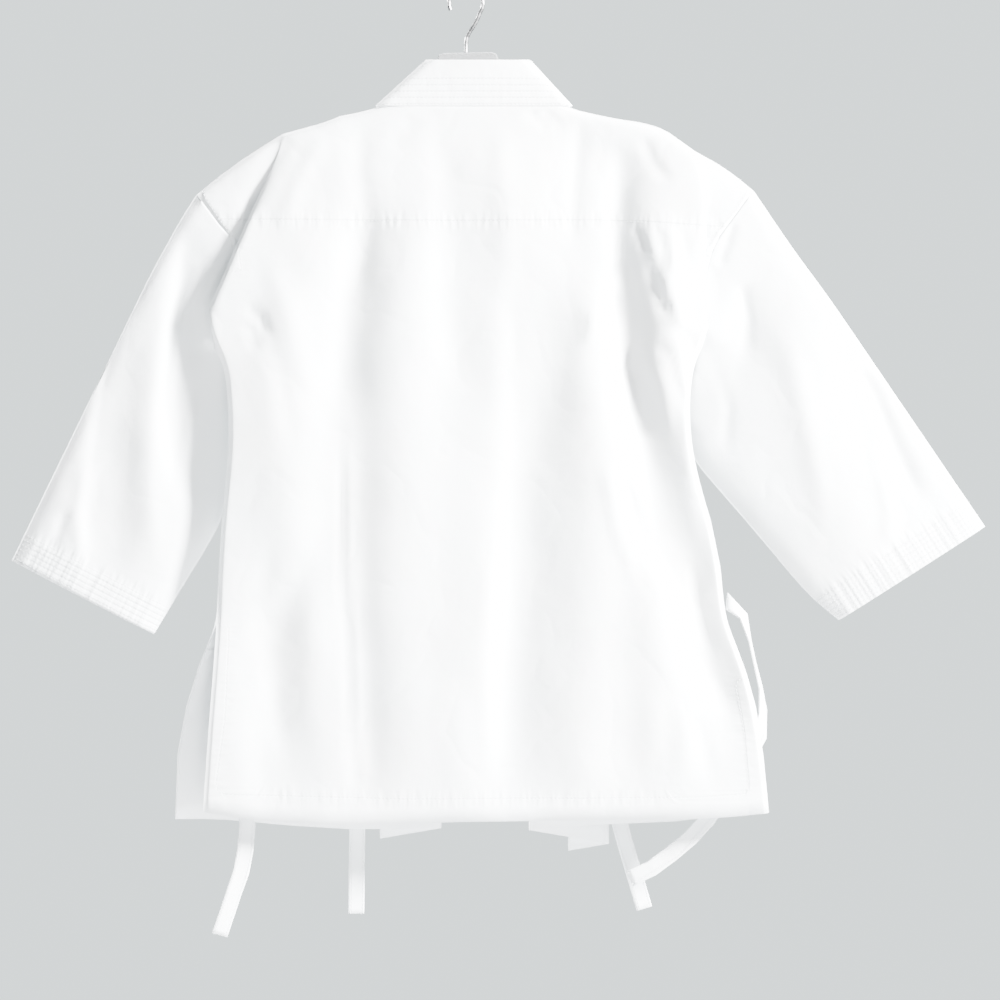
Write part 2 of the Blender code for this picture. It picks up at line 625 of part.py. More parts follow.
def off_seam(points, shares):
    """The same points, moved off the seam by its clearance, away from the body."""
    moved = []
    for k, (point, share) in enumerate(zip(points, shares)):
        ahead = points[min(k + 1, len(points) - 1)]
        behind = points[max(k - 1, 0)]
        run = Vector((ahead.x - behind.x, 0, ahead.z - behind.z)).normalized()
        clearance = ARMHOLE_SEAM + UNDERARM_CLEARANCE * soft_step((share - 0.8) / 0.15)
        moved.append(point + clearance * Vector((run.z, 0, -run.x)))
    return moved


def sleeve_layer(sleeve, table, face, share):
    """One layer of the ring at this share of the length: face is 1 on the back, -1 in front."""
    points, shares = armhole_points(table)
    seam = off_seam(points, shares)
    top = station_at(sleeve.top, share)
    under = station_at(sleeve.under, share)
    first_top = station_at(sleeve.top, 0)
    first_under = station_at(sleeve.under, 0)
    half_depth = blend_list(SLEEVE_HALF_DEPTHS, share)
    layer = []
    for point, down in zip(seam, shares):
        fade = 1 - soft_step(share / blend(ARMHOLE_REACH, ARMHOLE_REACH * UNDERARM_REACH, down))
        flat = top.lerp(under, down)
        bow = point - first_top.lerp(first_under, down)
        x = flat.x + bow.x * fade
        drop = flat.z + bow.z * fade
        crown = 2 * math.sqrt(down * (1 - down))
        fold = fold_height(SLEEVE_FOLDS, sleeve.sign * x, drop) * crown
        tube_depth = flat.y + face * half_depth * crown + fold
        start = point.y - UNDERARM_STEP * soft_step((down - 0.35) / 0.3)
        layer.append(Vector((sleeve.sign * x, blend(tube_depth, start, fade), drop)))
    return layer


def station_at(stations, share):
    path = [Vector((station.x, station.depth, station.drop)) for station in stations]
    length = sum((b - a).length for a, b in zip(path, path[1:]))
    return along(path, [share * length * 0.9999])[0]


def blend_list(values, share):
    place_in = share * (len(values) - 1)
    k = min(int(place_in), len(values) - 2)
    return blend(values[k], values[k + 1], place_in - k)


def make_sleeve(name, sleeve, material, group):
    rows = []
    for ring in range(SLEEVE_SECTIONS):
        even = ring / (SLEEVE_SECTIONS - 1)
        share = (even + even ** 2) / 2      # rings lie closer together at the armhole
        back = sleeve_layer(sleeve, sleeve.back_side, 1, share)
        front = sleeve_layer(sleeve, sleeve.front_side, -1, share)
        upper = (back[0] + front[0]) / 2
        lower = (back[-1] + front[-1]) / 2
        points = [upper] + back[1:-1] + [lower] + front[1:-1][::-1]
        rows.append([place(*point) for point in points])
    if sleeve.sign > 0:
        rows = [row[::-1] for row in rows]
    return cloth(name, rows, CLOTH, material, group, tube=True)


# ----------------------------------------------------------------------------------- the ties
def make_tie(name, table, material, group):
    """A flat tape along its route; twist turns its width out of the jacket's plane."""
    route = [Vector((row.x, row.depth, row.drop)) for row in table]
    marks = [0.0]
    for a, b in zip(route, route[1:]):
        marks.append(marks[-1] + (b - a).length)
    length = marks[-1]
    smooth = [Mark(mark, row.x, row.depth, row.drop, row.twist) for mark, row in zip(marks, table)]

    def centre(distance):
        return Vector([smooth_value(smooth, column, distance)
                       for column in ("x", "depth", "real_drop")])

    rows = []
    for k in range(TIE_SECTIONS + 1):
        distance = length * k / TIE_SECTIONS
        run = (centre(min(length, distance + 2)) - centre(max(0, distance - 2))).normalized()
        across = run.cross(Vector((0, 1, 0))).normalized()
        turned = Matrix.Rotation(math.radians(smooth_value(smooth, "twist", distance)), 3, run)
        half = turned @ across * TIE_WIDTH / 2
        middle = centre(distance)
        rows.append([place(*(middle - half)), place(*middle), place(*(middle + half))])
    return cloth(name, rows, TAPE, material, group)


# --------------------------------------------------------------------- the hanger and its hook
def hanger_outline():
    """Half of the bar's outline, from the hump to the tip, as (x, drop)."""
    def arm(x):
        return ARM_TOP_DROP + ARM_SLOPE * x
    tip = ARM_HALF_SPAN
    foot = HUMP_HALF_WIDTH + 12
    upper = [(HUMP_HALF_WIDTH - 7, HUMP_DROP), (HUMP_HALF_WIDTH - 2, HUMP_DROP + 2),
             (HUMP_HALF_WIDTH, HUMP_DROP + 7), (HUMP_HALF_WIDTH + 1, arm(foot) - 14),
             (HUMP_HALF_WIDTH + 4, arm(foot) - 4), (foot, arm(foot)),
             (tip - 5, arm(tip - 5)), (tip - 1, arm(tip) + 1), (tip, arm(tip) + 5),
             (tip - 2, arm(tip) + ARM_HEIGHT - 3), (tip - 6, arm(tip - 6) + ARM_HEIGHT)]
    lower = [(foot - 2, arm(foot) + ARM_HEIGHT - 1),
             (HUMP_HALF_WIDTH - HUMP_BAR + 1, arm(foot) + 2),
             (HUMP_HALF_WIDTH - HUMP_BAR, arm(foot) - 12),
             (HUMP_HALF_WIDTH - HUMP_BAR, HUMP_DROP + HUMP_BAR + 4),
             (HUMP_HALF_WIDTH - HUMP_BAR - 4, HUMP_DROP + HUMP_BAR)]
    return upper + lower


def make_hanger(material, group):
    half = hanger_outline()
    ring = half + [(-x, drop) for x, drop in half[::-1]]
    curve = bpy.data.curves.new("hanger_outline", "CURVE")
    curve.dimensions = "2D"
    curve.fill_mode = "BOTH"
    curve.extrude = HANGER_HALF_DEPTH * MM
    spline = curve.splines.new("POLY")
    spline.points.add(len(ring) - 1)
    for point, (x, drop) in zip(spline.points, ring):
        point.co = (x * MM, -drop * MM, 0.0, 1.0)
    spline.use_cyclic_u = True
    guide = bpy.data.objects.new("hanger_outline", curve)
    group.objects.link(guide)
    bpy.context.view_layer.update()
    mesh = bpy.data.meshes.new_from_object(
        guide.evaluated_get(bpy.context.evaluated_depsgraph_get()))
    bpy.data.objects.remove(guide)
    mesh.transform(Matrix.Rotation(HANGER_TILT, 4, "Y") @ Matrix.Rotation(math.pi / 2, 4, "X"))
    mesh.name = "hanger"
    mesh.materials.clear()
    mesh.materials.append(material)
    piece = bpy.data.objects.new("hanger", mesh)
    group.objects.link(piece)
    weld = piece.modifiers.new("weld", "WELD")
    weld.merge_threshold = 0.00001
    edge = piece.modifiers.new("edge", "BEVEL")
    edge.width = HANGER_EDGE * MM
    edge.segments = 2
    edge.limit_method = "ANGLE"
    edge.angle_limit = math.radians(60)
    return piece


def make_hook(material, group):
    """Steel wire: up from the hump, round over the hanging point and down to its end."""
    centre_drop = HOOK_BEND - HOOK_WIRE
    route = [(0, HOOK_FOOT_DROP), (0, 56), (-1, 49.5), (-4, 43.5), (-8, 37.5), (-11.5, 31)]
    for degrees in range(215, -31, -15):
        angle = math.radians(degrees)
        route.append((HOOK_BEND * math.cos(angle), centre_drop - HOOK_BEND * math.sin(angle)))
    curve = bpy.data.curves.new("hook", "CURVE")
    curve.dimensions = "3D"
    curve.bevel_depth = HOOK_WIRE * MM
    curve.bevel_resolution = 2
    curve.use_fill_caps = True
    spline = curve.splines.new("POLY")
    spline.points.add(len(route) - 1)
    for point, (x, drop) in zip(spline.points, route):
        point.co = (x * MM, 0.0, -drop * MM, 1.0)
    curve.materials.append(material)
    piece = bpy.data.objects.new("hook", curve)
    group.objects.link(piece)
    return piece


def build():
    clear_scene()
    group = collection_named("karate_gi_jacket")
    canvas = finish("white_canvas", (0.86, 0.87, 0.89), 0.9)
    plastic = finish("clear_plastic", (0.82, 0.84, 0.86), 0.15, transmission=0.8)
    steel = finish("bright_steel", (0.75, 0.75, 0.76), 0.25, metallic=1.0)
    make_back(canvas, group)
    cloth("front_left", front_rows(LEFT_CUT), CLOTH, canvas, group)
    cloth("front_right", front_rows(RIGHT_CUT), CLOTH, canvas, group)
    cloth("lapel_left", band_rows(LEFT_CUT), BAND, canvas, group)
    cloth("lapel_right", band_rows(RIGHT_CUT), BAND, canvas, group)
    cloth("collar", collar_rows(), BAND, canvas, group)
    make_sleeve("sleeve_left", LEFT_SLEEVE, canvas, group)
    make_sleeve("sleeve_right", RIGHT_SLEEVE, canvas, group)
    make_tie("tie_side_left", LEFT_SIDE_TIE, canvas, group)
    make_tie("tie_side_right", RIGHT_SIDE_TIE, canvas, group)
    make_tie("tie_front_left", on_band(LEFT_CUT, LEFT_FRONT_TIE), canvas, group)
    make_tie("tie_front_right", on_band(RIGHT_CUT, RIGHT_FRONT_TIE), canvas, group)
    make_hanger(plastic, group)
    make_hook(steel, group)


build()
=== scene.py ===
# %% [markdown]
# # A karate gi jacket on a clothes hanger
# The jacket hangs flat from a clear plastic hanger and is seen from behind. Its shape is settled in the
# imported model: a back, two fronts folded open, two sleeves, a neck band in three stretches and four ties.
# This lesson dresses that model. Each piece of cloth becomes a thin shell on the form of its solid, gets
# its creases, and then its weave and its stitching.

# %% Load the imported model
import heapq
import math
from collections import defaultdict, namedtuple

import bpy
import numpy as np
from mathutils import Matrix, Vector, noise
from mathutils.bvhtree import BVHTree

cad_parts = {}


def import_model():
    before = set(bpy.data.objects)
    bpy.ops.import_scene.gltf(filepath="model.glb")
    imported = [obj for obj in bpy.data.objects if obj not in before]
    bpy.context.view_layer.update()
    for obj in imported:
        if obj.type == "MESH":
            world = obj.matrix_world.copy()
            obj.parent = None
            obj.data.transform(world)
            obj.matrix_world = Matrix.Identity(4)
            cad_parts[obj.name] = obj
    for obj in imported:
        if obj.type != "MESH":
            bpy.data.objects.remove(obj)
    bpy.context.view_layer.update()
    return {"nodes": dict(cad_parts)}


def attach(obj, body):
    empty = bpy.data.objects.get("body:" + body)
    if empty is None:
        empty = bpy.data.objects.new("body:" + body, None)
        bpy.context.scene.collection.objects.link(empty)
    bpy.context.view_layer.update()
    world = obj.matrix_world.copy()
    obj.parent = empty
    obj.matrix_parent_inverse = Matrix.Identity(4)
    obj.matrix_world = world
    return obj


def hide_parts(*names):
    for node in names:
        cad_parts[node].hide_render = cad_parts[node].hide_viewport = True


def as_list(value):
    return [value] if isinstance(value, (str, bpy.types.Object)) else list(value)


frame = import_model()
bpy.ops.object.select_all(action="DESELECT")
print("nodes in the frame:", sorted(frame["nodes"]))

# %% [markdown]
# ## Sizes
# The jacket hangs in one plane, so a place on the cloth is given by two sizes in millimetres: x, towards
# the wearer's left, and drop, how far it lies below the hanging point. Depth is along Y, towards the back.
# A maker measures a garment the same way, flat on a table and down from the neck. All sizes in this
# lesson are in millimetres unless they say otherwise.

# %% Millimetres, drop and a soft step
MM = 0.001


def drop_of(z):
    return -z / MM


def ease(value):
    """A smooth step: nought up to nought, one from one on, and soft at both ends."""
    value = np.clip(value, 0, 1)
    return value * value * (3 - 2 * value)


# %% [markdown]
# ## A shell on the form of its solid
# The canvas is a wall a millimetre thick. It could be draped by a cloth simulation, but then it would come
# to rest in folds of its own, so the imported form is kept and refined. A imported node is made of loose
# triangles. Its copy is merged and turned back into quads, the rims and the folds are creased so that
# they keep their place, and a Subdivision Surface rounds the rest. What comes out is a closed wall of
# cloth, fine enough to take creases.

# %% Make a shell from a node
SHARP = math.radians(42)    # edges that turn by more than this are rims or folds
SAME_PLACE = 0.00001        # in metres


def copy_of_node(node_name):
    piece = frame["nodes"][node_name].copy()
    piece.data = piece.data.copy()
    piece.name = node_name + "_cloth"
    piece.parent = None
    bpy.context.scene.collection.objects.link(piece)
    for key in list(piece.keys()):
        del piece[key]
    piece.data.materials.clear()
    return piece


def shell_from(node_name, levels, band=False):
    """A rounded copy of a node. The edges creased here are still selected when a band is measured."""
    bpy.ops.object.select_all(action="DESELECT")
    piece = copy_of_node(node_name)
    bpy.context.view_layer.objects.active = piece
    piece.select_set(True)
    bpy.ops.object.mode_set(mode="EDIT")
    bpy.ops.mesh.select_all(action="SELECT")
    bpy.ops.mesh.remove_doubles(threshold=SAME_PLACE)
    bpy.ops.mesh.tris_convert_to_quads(face_threshold=math.pi, shape_threshold=math.pi,
                                       topology_influence=1)
    bpy.ops.mesh.select_all(action="DESELECT")
    bpy.ops.mesh.edges_select_sharp(sharpness=SHARP)
    bpy.ops.transform.edge_crease(value=1.0)
    bpy.ops.object.mode_set(mode="OBJECT")
    if band:
        store(piece, "row_gap", distance_from_seam(piece.data))
    rounding = piece.modifiers.new("rounding", "SUBSURF")
    rounding.levels = levels
    rounding.render_levels = levels
    bpy.ops.object.modifier_apply(modifier=rounding.name)
    piece.data.shade_smooth()
    piece.select_set(False)
    print(piece.name, len(piece.data.polygons), "faces")
    return piece


def coordinates(piece):
    values = np.zeros(len(piece.data.vertices) * 3)
    piece.data.vertices.foreach_get("co", values)
    return values.reshape(-1, 3)


def set_coordinates(piece, values):
    piece.data.vertices.foreach_set("co", values.reshape(-1))
    piece.data.update()


def store(piece, name, values):
    attribute = piece.data.attributes.get(name)
    if attribute is None:
        attribute = piece.data.attributes.new(name, "FLOAT", "POINT")
    attribute.data.foreach_set("value", np.asarray(values, dtype=np.float32))


def stored(piece, name):
    values = np.zeros(len(piece.data.vertices), dtype=np.float32)
    piece.data.attributes[name].data.foreach_get("value", values)
    return values


# %% [markdown]
# ## How far a point of the band lies from its seam
# The neck band is three layers of canvas held by rows of stitching along its whole length. It folds over
# itself on the way down, so the rows can't be drawn as flat lines. They are measured over the cloth
# instead: from the rim that is sewn to the front, edge by edge, as a tape would be laid on it.

# %% Measure a band from its sewn rim
FIRST_STEP = 1.75       # on the sewn side, the band's first quads are narrower than this


def distance_from_seam(mesh):
    rim = {vertex for edge in mesh.edges if edge.select for vertex in edge.vertices}
    reach = defaultdict(list)
    starts = set()
    for edge in mesh.edges:
        a, b = edge.vertices
        length = (mesh.vertices[a].co - mesh.vertices[b].co).length / MM
        reach[a].append((b, length))
        reach[b].append((a, length))
        if (a in rim) != (b in rim) and length < FIRST_STEP:
            starts.add(a if a in rim else b)
    best = {vertex: 0.0 for vertex in starts}
    waiting = [(0.0, vertex) for vertex in starts]
    heapq.heapify(waiting)
    while waiting:
        gone, vertex = heapq.heappop(waiting)
        if gone > best[vertex]:
            continue
        for other, length in reach[vertex]:
            if gone + length < best.get(other, math.inf):
                best[other] = gone + length
                heapq.heappush(waiting, (gone + length, other))
    return [best.get(vertex.index, 0.0) for vertex in mesh.vertices]


# %% [markdown]
# ## The shells
# The panels, the lapels and the ties get two levels of rounding and the coarser sleeves and collar three,
# which puts a point about every four millimetres on all of them. That is fine enough for a crease and
# coarse enough to stay quick.

# %% Shells of all cloth pieces
LEVELS = {"back": 2, "front_left": 2, "front_right": 2, "lapel_left": 2, "lapel_right": 2, "collar": 3,
          "sleeve_left": 3, "sleeve_right": 3, "tie_side_left": 2, "tie_side_right": 2,
          "tie_front_left": 2, "tie_front_right": 2}
shells = {}
for name, levels in LEVELS.items():
    shells[name] = shell_from(name, levels, band=name.startswith("lapel"))
print("the left lapel is", round(float(stored(shells["lapel_left"], "row_gap").max()), 1), "mm wide")

# %% [markdown]
# ## Small moves before the seams are closed
# Seen from behind, each sleeve disappears under the jacket's side right below the armhole. Its lower fold
# is drawn inwards and forwards there, so that it passes in front of the side and leaves no gap. The move
# fades out round the fold, as a hand would push the cloth. The right lapel's upper corner is drawn in
# behind the collar in the same way.

# %% Tuck the sleeves under the arms
UNDERARM_INWARD = 14
UNDERARM_FORWARD = 4.5
UNDERARM_REACH = 26         # how far from its fold a sleeve still moves
UNDERARM_TOP, UNDERARM_TOP_FADE = 350, 14
UNDERARM_FOOT, UNDERARM_FOOT_FADE = 452, 27
UNDERARM_DROPS = [345, 355, 365, 375, 385, 395, 405, 415, 425, 435, 450]
UNDERARM_FOLDS = {
    "sleeve_left": (1, [248, 250, 256, 256, 254, 250, 247, 243, 240, 237, 234]),
    "sleeve_right": (-1, [238, 238, 242, 242, 240, 237, 234, 230, 227, 224, 221]),
}


def tuck_under_arm(piece, sign, fold):
    points = coordinates(piece)
    drop = drop_of(points[:, 2])
    beside_fold = sign * points[:, 0] / MM - np.interp(drop, UNDERARM_DROPS, fold)
    share = ease(1 - beside_fold / UNDERARM_REACH)
    share *= ease((drop - UNDERARM_TOP) / UNDERARM_TOP_FADE)
    share *= ease((UNDERARM_FOOT - drop) / UNDERARM_FOOT_FADE)
    points[:, 0] -= sign * UNDERARM_INWARD * MM * share
    points[:, 1] -= UNDERARM_FORWARD * MM * share
    set_coordinates(piece, points)
    print(piece.name, "is tucked in at", int((share > 0.1).sum()), "points")


def draw_corner_in(piece, top, foot, inward):
    """Moves the upper corner of a piece sideways, fully at its top and not at all at its foot."""
    points = coordinates(piece)
    points[:, 0] += inward * MM * ease((foot - drop_of(points[:, 2])) / (foot - top))
    set_coordinates(piece, points)


for name, (sign, fold) in UNDERARM_FOLDS.items():
    tuck_under_arm(shells[name], sign, fold)
draw_corner_in(shells["lapel_right"], top=74, foot=92, inward=3.6)

# %% [markdown]
# ## Closing the seams
# The solids stand about half a millimetre apart where they are sewn together. On the jacket there is no
# gap, so the rims on both sides of a seam are drawn towards each other until they meet. The pieces stay
# meshes of their own, because each is a piece that a maker would cut.

# %% Draw the rims of a seam together
SEAM_REACH = 2.3            # points nearer than this to the other piece belong to the seam
SEAM_LEFT_OPEN = 0.03


def tree_of(piece):
    mesh = piece.data
    return BVHTree.FromPolygons([vertex.co for vertex in mesh.vertices],
                                [tuple(face.vertices) for face in mesh.polygons])


def close_seam(first, second):
    moved = 0
    trees = {first: tree_of(second), second: tree_of(first)}
    for piece, tree in trees.items():
        for vertex in piece.data.vertices:
            place, _, _, away = tree.find_nearest(vertex.co, SEAM_REACH * MM)
            if place is not None and away > SEAM_LEFT_OPEN * MM:
                vertex.co += (place - vertex.co) * (0.5 - SEAM_LEFT_OPEN * MM / away / 2)
                moved += 1
        piece.data.update()
    print("seam", first.name, second.name, moved, "points drawn in")


SEAMS = [("back", "sleeve_left"), ("back", "sleeve_right"), ("front_left", "sleeve_left"),
         ("front_right", "sleeve_right"), ("back", "collar"), ("back", "front_left"),
         ("back", "front_right"), ("front_left", "lapel_left"), ("front_right", "lapel_right"),
         ("collar", "lapel_left"), ("collar", "lapel_right")]
for one, other in SEAMS:
    close_seam(shells[one], shells[other])

# %% [markdown]
# ## Creases
# Canvas falls in few, broad folds with some sharp ones where it is pinched. They could be sculpted or
# simulated, but a path with numbers puts each one where the jacket has it and can be corrected later. So
# a crease is a soft trough or ridge along a path. It has a height, a width on each side and two ends
# where it fades out, and no two are alike. Both faces of the wall move together, so the cloth keeps its
# thickness.

# %% Creases as troughs and ridges
# left and right are the widths towards the wearer's left and right, for a path that runs down
Crease = namedtuple("Crease", "height left right path")
CREASE_FADE = 0.22          # the share of its length over which a crease fades out at each end
SWELL_SIZE = 46             # of the cloth's slow, all-over unevenness
SWELL_HEIGHT = 1.1
SWELL_SHIFT = (3.1, 1.7, 0.9)
STILL_SEWN = 0.4            # nearer than this to another piece, the cloth takes no crease
LETTING_GO = 4.6            # and over this much more distance it comes free


def path_measures(x, drop, path):
    """For each point: signed distance to the path and how far along it, both in millimetres."""
    best = np.full(len(x), np.inf)
    signed = np.zeros(len(x))
    run = np.zeros(len(x))
    gone = 0.0
    for (ax, ad), (bx, bd) in zip(path, path[1:]):
        step = math.hypot(bx - ax, bd - ad)
        ux, ud = (bx - ax) / step, (bd - ad) / step
        t = np.clip((x - ax) * ux + (drop - ad) * ud, 0, step)
        away = np.hypot(x - ax - t * ux, drop - ad - t * ud)
        side = np.where((x - ax) * ud - (drop - ad) * ux < 0, -1.0, 1.0)
        nearer = away < best
        best = np.where(nearer, away, best)
        signed = np.where(nearer, away * side, signed)
        run = np.where(nearer, gone + t, run)
        gone += step
    return signed, run, gone


def crease_heights(creases, x, drop):
    total = np.zeros(len(x))
    for crease in creases:
        signed, run, length = path_measures(x, drop, crease.path)
        width = np.where(signed > 0, crease.left, crease.right)
        share = run / length
        fade = ease(np.minimum(share, 1 - share) / CREASE_FADE)
        total += crease.height * fade * np.exp(-(signed / width) ** 2)
    return total


def unevenness(points, seed):
    """A slow swell that the seed settles, the same on both faces of the wall."""
    shift = Vector([seed * step for step in SWELL_SHIFT])
    size = SWELL_SIZE * MM
    return np.array([noise.noise(Vector((x, 0, z)) / size + shift) for x, _, z in points]) * SWELL_HEIGHT


def free_share(piece, others):
    """Nothing where the cloth is sewn to or lies on another piece, full a little way off it."""
    trees = [tree_of(shells[other]) for other in others]
    room = [min(tree.find_nearest(vertex.co)[3] for tree in trees) for vertex in piece.data.vertices]
    return ease((np.array(room) / MM - STILL_SEWN) / LETTING_GO)


def press_creases(piece, creases, seed, share):
    """Moves the cloth along Y by its creases; share says how much of that each point takes."""
    points = coordinates(piece)
    heights = crease_heights(creases, points[:, 0] / MM, drop_of(points[:, 2]))
    heights += unevenness(points, seed)
    heights *= share
    points[:, 1] += heights * MM
    set_coordinates(piece, points)
    print(piece.name, "creases from", round(heights.min(), 1), "to", round(heights.max(), 1), "mm")


NEIGHBOURS = {"back": ["front_left", "front_right", "sleeve_left", "sleeve_right", "collar"],
              "front_left": ["back", "sleeve_left"], "front_right": ["back", "sleeve_right"],
              "sleeve_left": ["back", "front_left"], "sleeve_right": ["back", "front_right"]}
FREE = {name: free_share(shells[name], others) for name, others in NEIGHBOURS.items()}


# %% [markdown]
# ## The back's creases
# The back is one wide panel, sewn on at the neck and the armholes and free below them. Its largest folds
# are in the solid already. On top of them come the sharp line in the left trough, the soft bands that
# fall from the neck, the crumpled cloth beside the right armhole and the faint lumps above the hem. A
# height below nought is a trough, seen from behind.

# %% Creases of the back
BACK_CREASES = [
    Crease(5.5, 60, 14, [(120, 390), (124, 472), (123, 587), (117, 715), (111, 850)]),
    Crease(-3.2, 5, 2.5, [(121, 420), (123, 472), (122, 587), (115, 715), (108, 840)]),
    Crease(-5.0, 16, 44, [(186, 540), (206, 650), (204, 740), (196, 850)]),
    Crease(-2.6, 12, 10, [(102, 128), (106, 180), (99, 240), (112, 320)]),
    Crease(-3.4, 12, 24, [(110, 205), (118, 290), (122, 360), (126, 430)]),
    Crease(-3.2, 14, 20, [(30, 122), (20, 190), (22, 300), (10, 410)]),
    Crease(1.8, 12, 12, [(-34, 124), (-38, 210), (-46, 330)]),
    Crease(-2.4, 5, 9, [(-114, 126), (-108, 190), (-104, 262)]),
    Crease(-5.0, 14, 30, [(-44, 210), (-50, 340), (-52, 459), (-44, 600), (-34, 840)]),
    Crease(2.2, 10, 12, [(-24, 560), (-20, 690), (-26, 800)]),
    Crease(-3.6, 9, 13, [(-154, 150), (-150, 236), (-155, 372), (-176, 430)]),
    Crease(5.5, 34, 10, [(-196, 216), (-210, 290), (-214, 400), (-220, 500), (-236, 590)]),
    Crease(-4.6, 10, 20, [(-160, 240), (-166, 330), (-170, 430), (-190, 540), (-230, 640)]),
    Crease(-4.2, 4, 10, [(-154, 480), (-163, 515), (-178, 556), (-226, 628)]),
    Crease(3.0, 8, 8, [(-140, 470), (-150, 540), (-172, 600)]),
    Crease(-2.6, 7, 9, [(-214, 640), (-244, 690), (-268, 730)]),
    Crease(-2.0, 6, 6, [(-206, 700), (-232, 742), (-250, 800)]),
    Crease(-2.6, 16, 22, [(134, 498), (160, 590), (192, 670), (172, 790)]),
    Crease(2.2, 12, 12, [(176, 560), (214, 640), (206, 740)]),
    Crease(-1.8, 10, 10, [(150, 660), (196, 700), (182, 770)]),
    Crease(1.8, 9, 12, [(202, 260), (176, 330), (150, 420)]),
    Crease(-1.7, 9, 9, [(216, 300), (186, 380), (170, 470)]),
    Crease(-2.6, 12, 9, [(176, 142), (196, 180), (222, 232)]),
    Crease(2.0, 9, 10, [(140, 145), (168, 196), (186, 250)]),
    Crease(-2.0, 5, 5, [(224, 318), (206, 330), (196, 352)]),
    Crease(-2.2, 5, 4, [(221, 336), (212, 346), (210, 366)]),
    Crease(-2.8, 7, 7, [(-182, 268), (-190, 300), (-204, 336)]),
    Crease(2.6, 6, 6, [(-196, 276), (-204, 312), (-220, 346)]),
    Crease(-3.0, 5, 6, [(-207, 338), (-216, 346), (-226, 364), (-232, 392)]),
    Crease(-2.6, 5, 5, [(-190, 352), (-204, 372), (-210, 396), (-222, 430)]),
    Crease(2.2, 6, 5, [(-182, 370), (-196, 400), (-206, 446)]),
    Crease(-2.2, 6, 6, [(-176, 148), (-188, 178), (-206, 196)]),
    Crease(-1.6, 10, 10, [(-196, 690), (-204, 730), (-198, 790)]),
    Crease(1.6, 9, 9, [(-216, 700), (-222, 750), (-214, 800)]),
    Crease(-1.4, 8, 10, [(50, 130), (64, 150), (78, 152)]),
    Crease(-1.3, 5, 5, [(-60, 122), (-70, 132), (-84, 142)]),
    Crease(-1.3, 5, 5, [(-76, 122), (-88, 134), (-100, 140)]),
    Crease(-1.5, 8, 8, [(230, 688), (222, 680), (212, 674)]),
    Crease(-2.2, 4, 5, [(-168, 236), (-176, 250), (-180, 268)]),
    Crease(2.0, 4, 4, [(-176, 238), (-186, 254), (-192, 276)]),
    Crease(-2.4, 4, 5, [(-188, 240), (-196, 262), (-200, 290)]),
    Crease(2.0, 4, 4, [(-204, 242), (-208, 262), (-206, 292)]),
    Crease(-2.0, 4, 4, [(-214, 244), (-218, 262), (-214, 284)]),
    Crease(1.8, 3, 4, [(-206, 306), (-216, 330), (-230, 352)]),
]
press_creases(shells["back"], BACK_CREASES, seed=1, share=FREE["back"])

# %% [markdown]
# ## The fronts' creases
# The fronts face away from the camera. They get creases of the same kind: long ones that fall from the
# hanger's arms, short ones that run in from the armholes, and a soft one over each hip. What is folded
# back lies double and is held flat, so it takes none.

# %% Creases of the fronts
LEFT_FRONT_CREASES = [
    Crease(4.5, 12, 7, [(176, 150), (150, 260), (138, 400)]),
    Crease(-4.2, 9, 12, [(150, 380), (134, 520), (140, 700), (134, 812)]),
    Crease(3.8, 7, 7, [(228, 268), (206, 306), (176, 350)]),
    Crease(-3.5, 6, 6, [(222, 318), (200, 348), (182, 396)]),
    Crease(3.7, 12, 10, [(214, 420), (200, 560), (212, 700)]),
    Crease(-3.7, 10, 14, [(236, 640), (214, 716), (206, 800)]),
    Crease(6.0, 16, 12, [(252, 640), (272, 700), (284, 760), (288, 850)]),
    Crease(2.9, 8, 8, [(112, 200), (98, 300), (92, 430)]),
    Crease(-2.9, 8, 8, [(98, 560), (90, 650), (96, 780)]),
]
RIGHT_FRONT_CREASES = [
    Crease(4.8, 8, 12, [(-186, 152), (-158, 280), (-166, 420)]),
    Crease(-4.5, 12, 8, [(-150, 400), (-170, 540), (-176, 720)]),
    Crease(4.2, 7, 7, [(-232, 262), (-206, 306), (-182, 356)]),
    Crease(-3.8, 6, 6, [(-222, 330), (-202, 366), (-190, 420)]),
    Crease(3.5, 9, 12, [(-206, 470), (-216, 600), (-246, 700)]),
    Crease(-3.8, 12, 9, [(-250, 660), (-226, 740), (-224, 812)]),
    Crease(3.2, 8, 8, [(-118, 210), (-128, 320), (-120, 430)]),
]
DOUBLE_FADE = 30


def side_share(name, inner, sign):
    """Nothing where the cloth is folded back and lies double, growing to full beyond the inner x."""
    return FREE[name] * ease((sign * coordinates(shells[name])[:, 0] / MM - inner) / DOUBLE_FADE)


press_creases(shells["front_left"], LEFT_FRONT_CREASES, seed=2,
              share=side_share("front_left", inner=92, sign=1))
press_creases(shells["front_right"], RIGHT_FRONT_CREASES, seed=3,
              share=side_share("front_right", inner=152, sign=-1))

# %% [markdown]
# ## The sleeves' creases
# A sleeve is a flat tube, and its back and front layers crease each in their own way. The layers are one
# mesh, so a point's depth says which layer it is in, and the two folded edges between them stay where
# they are.

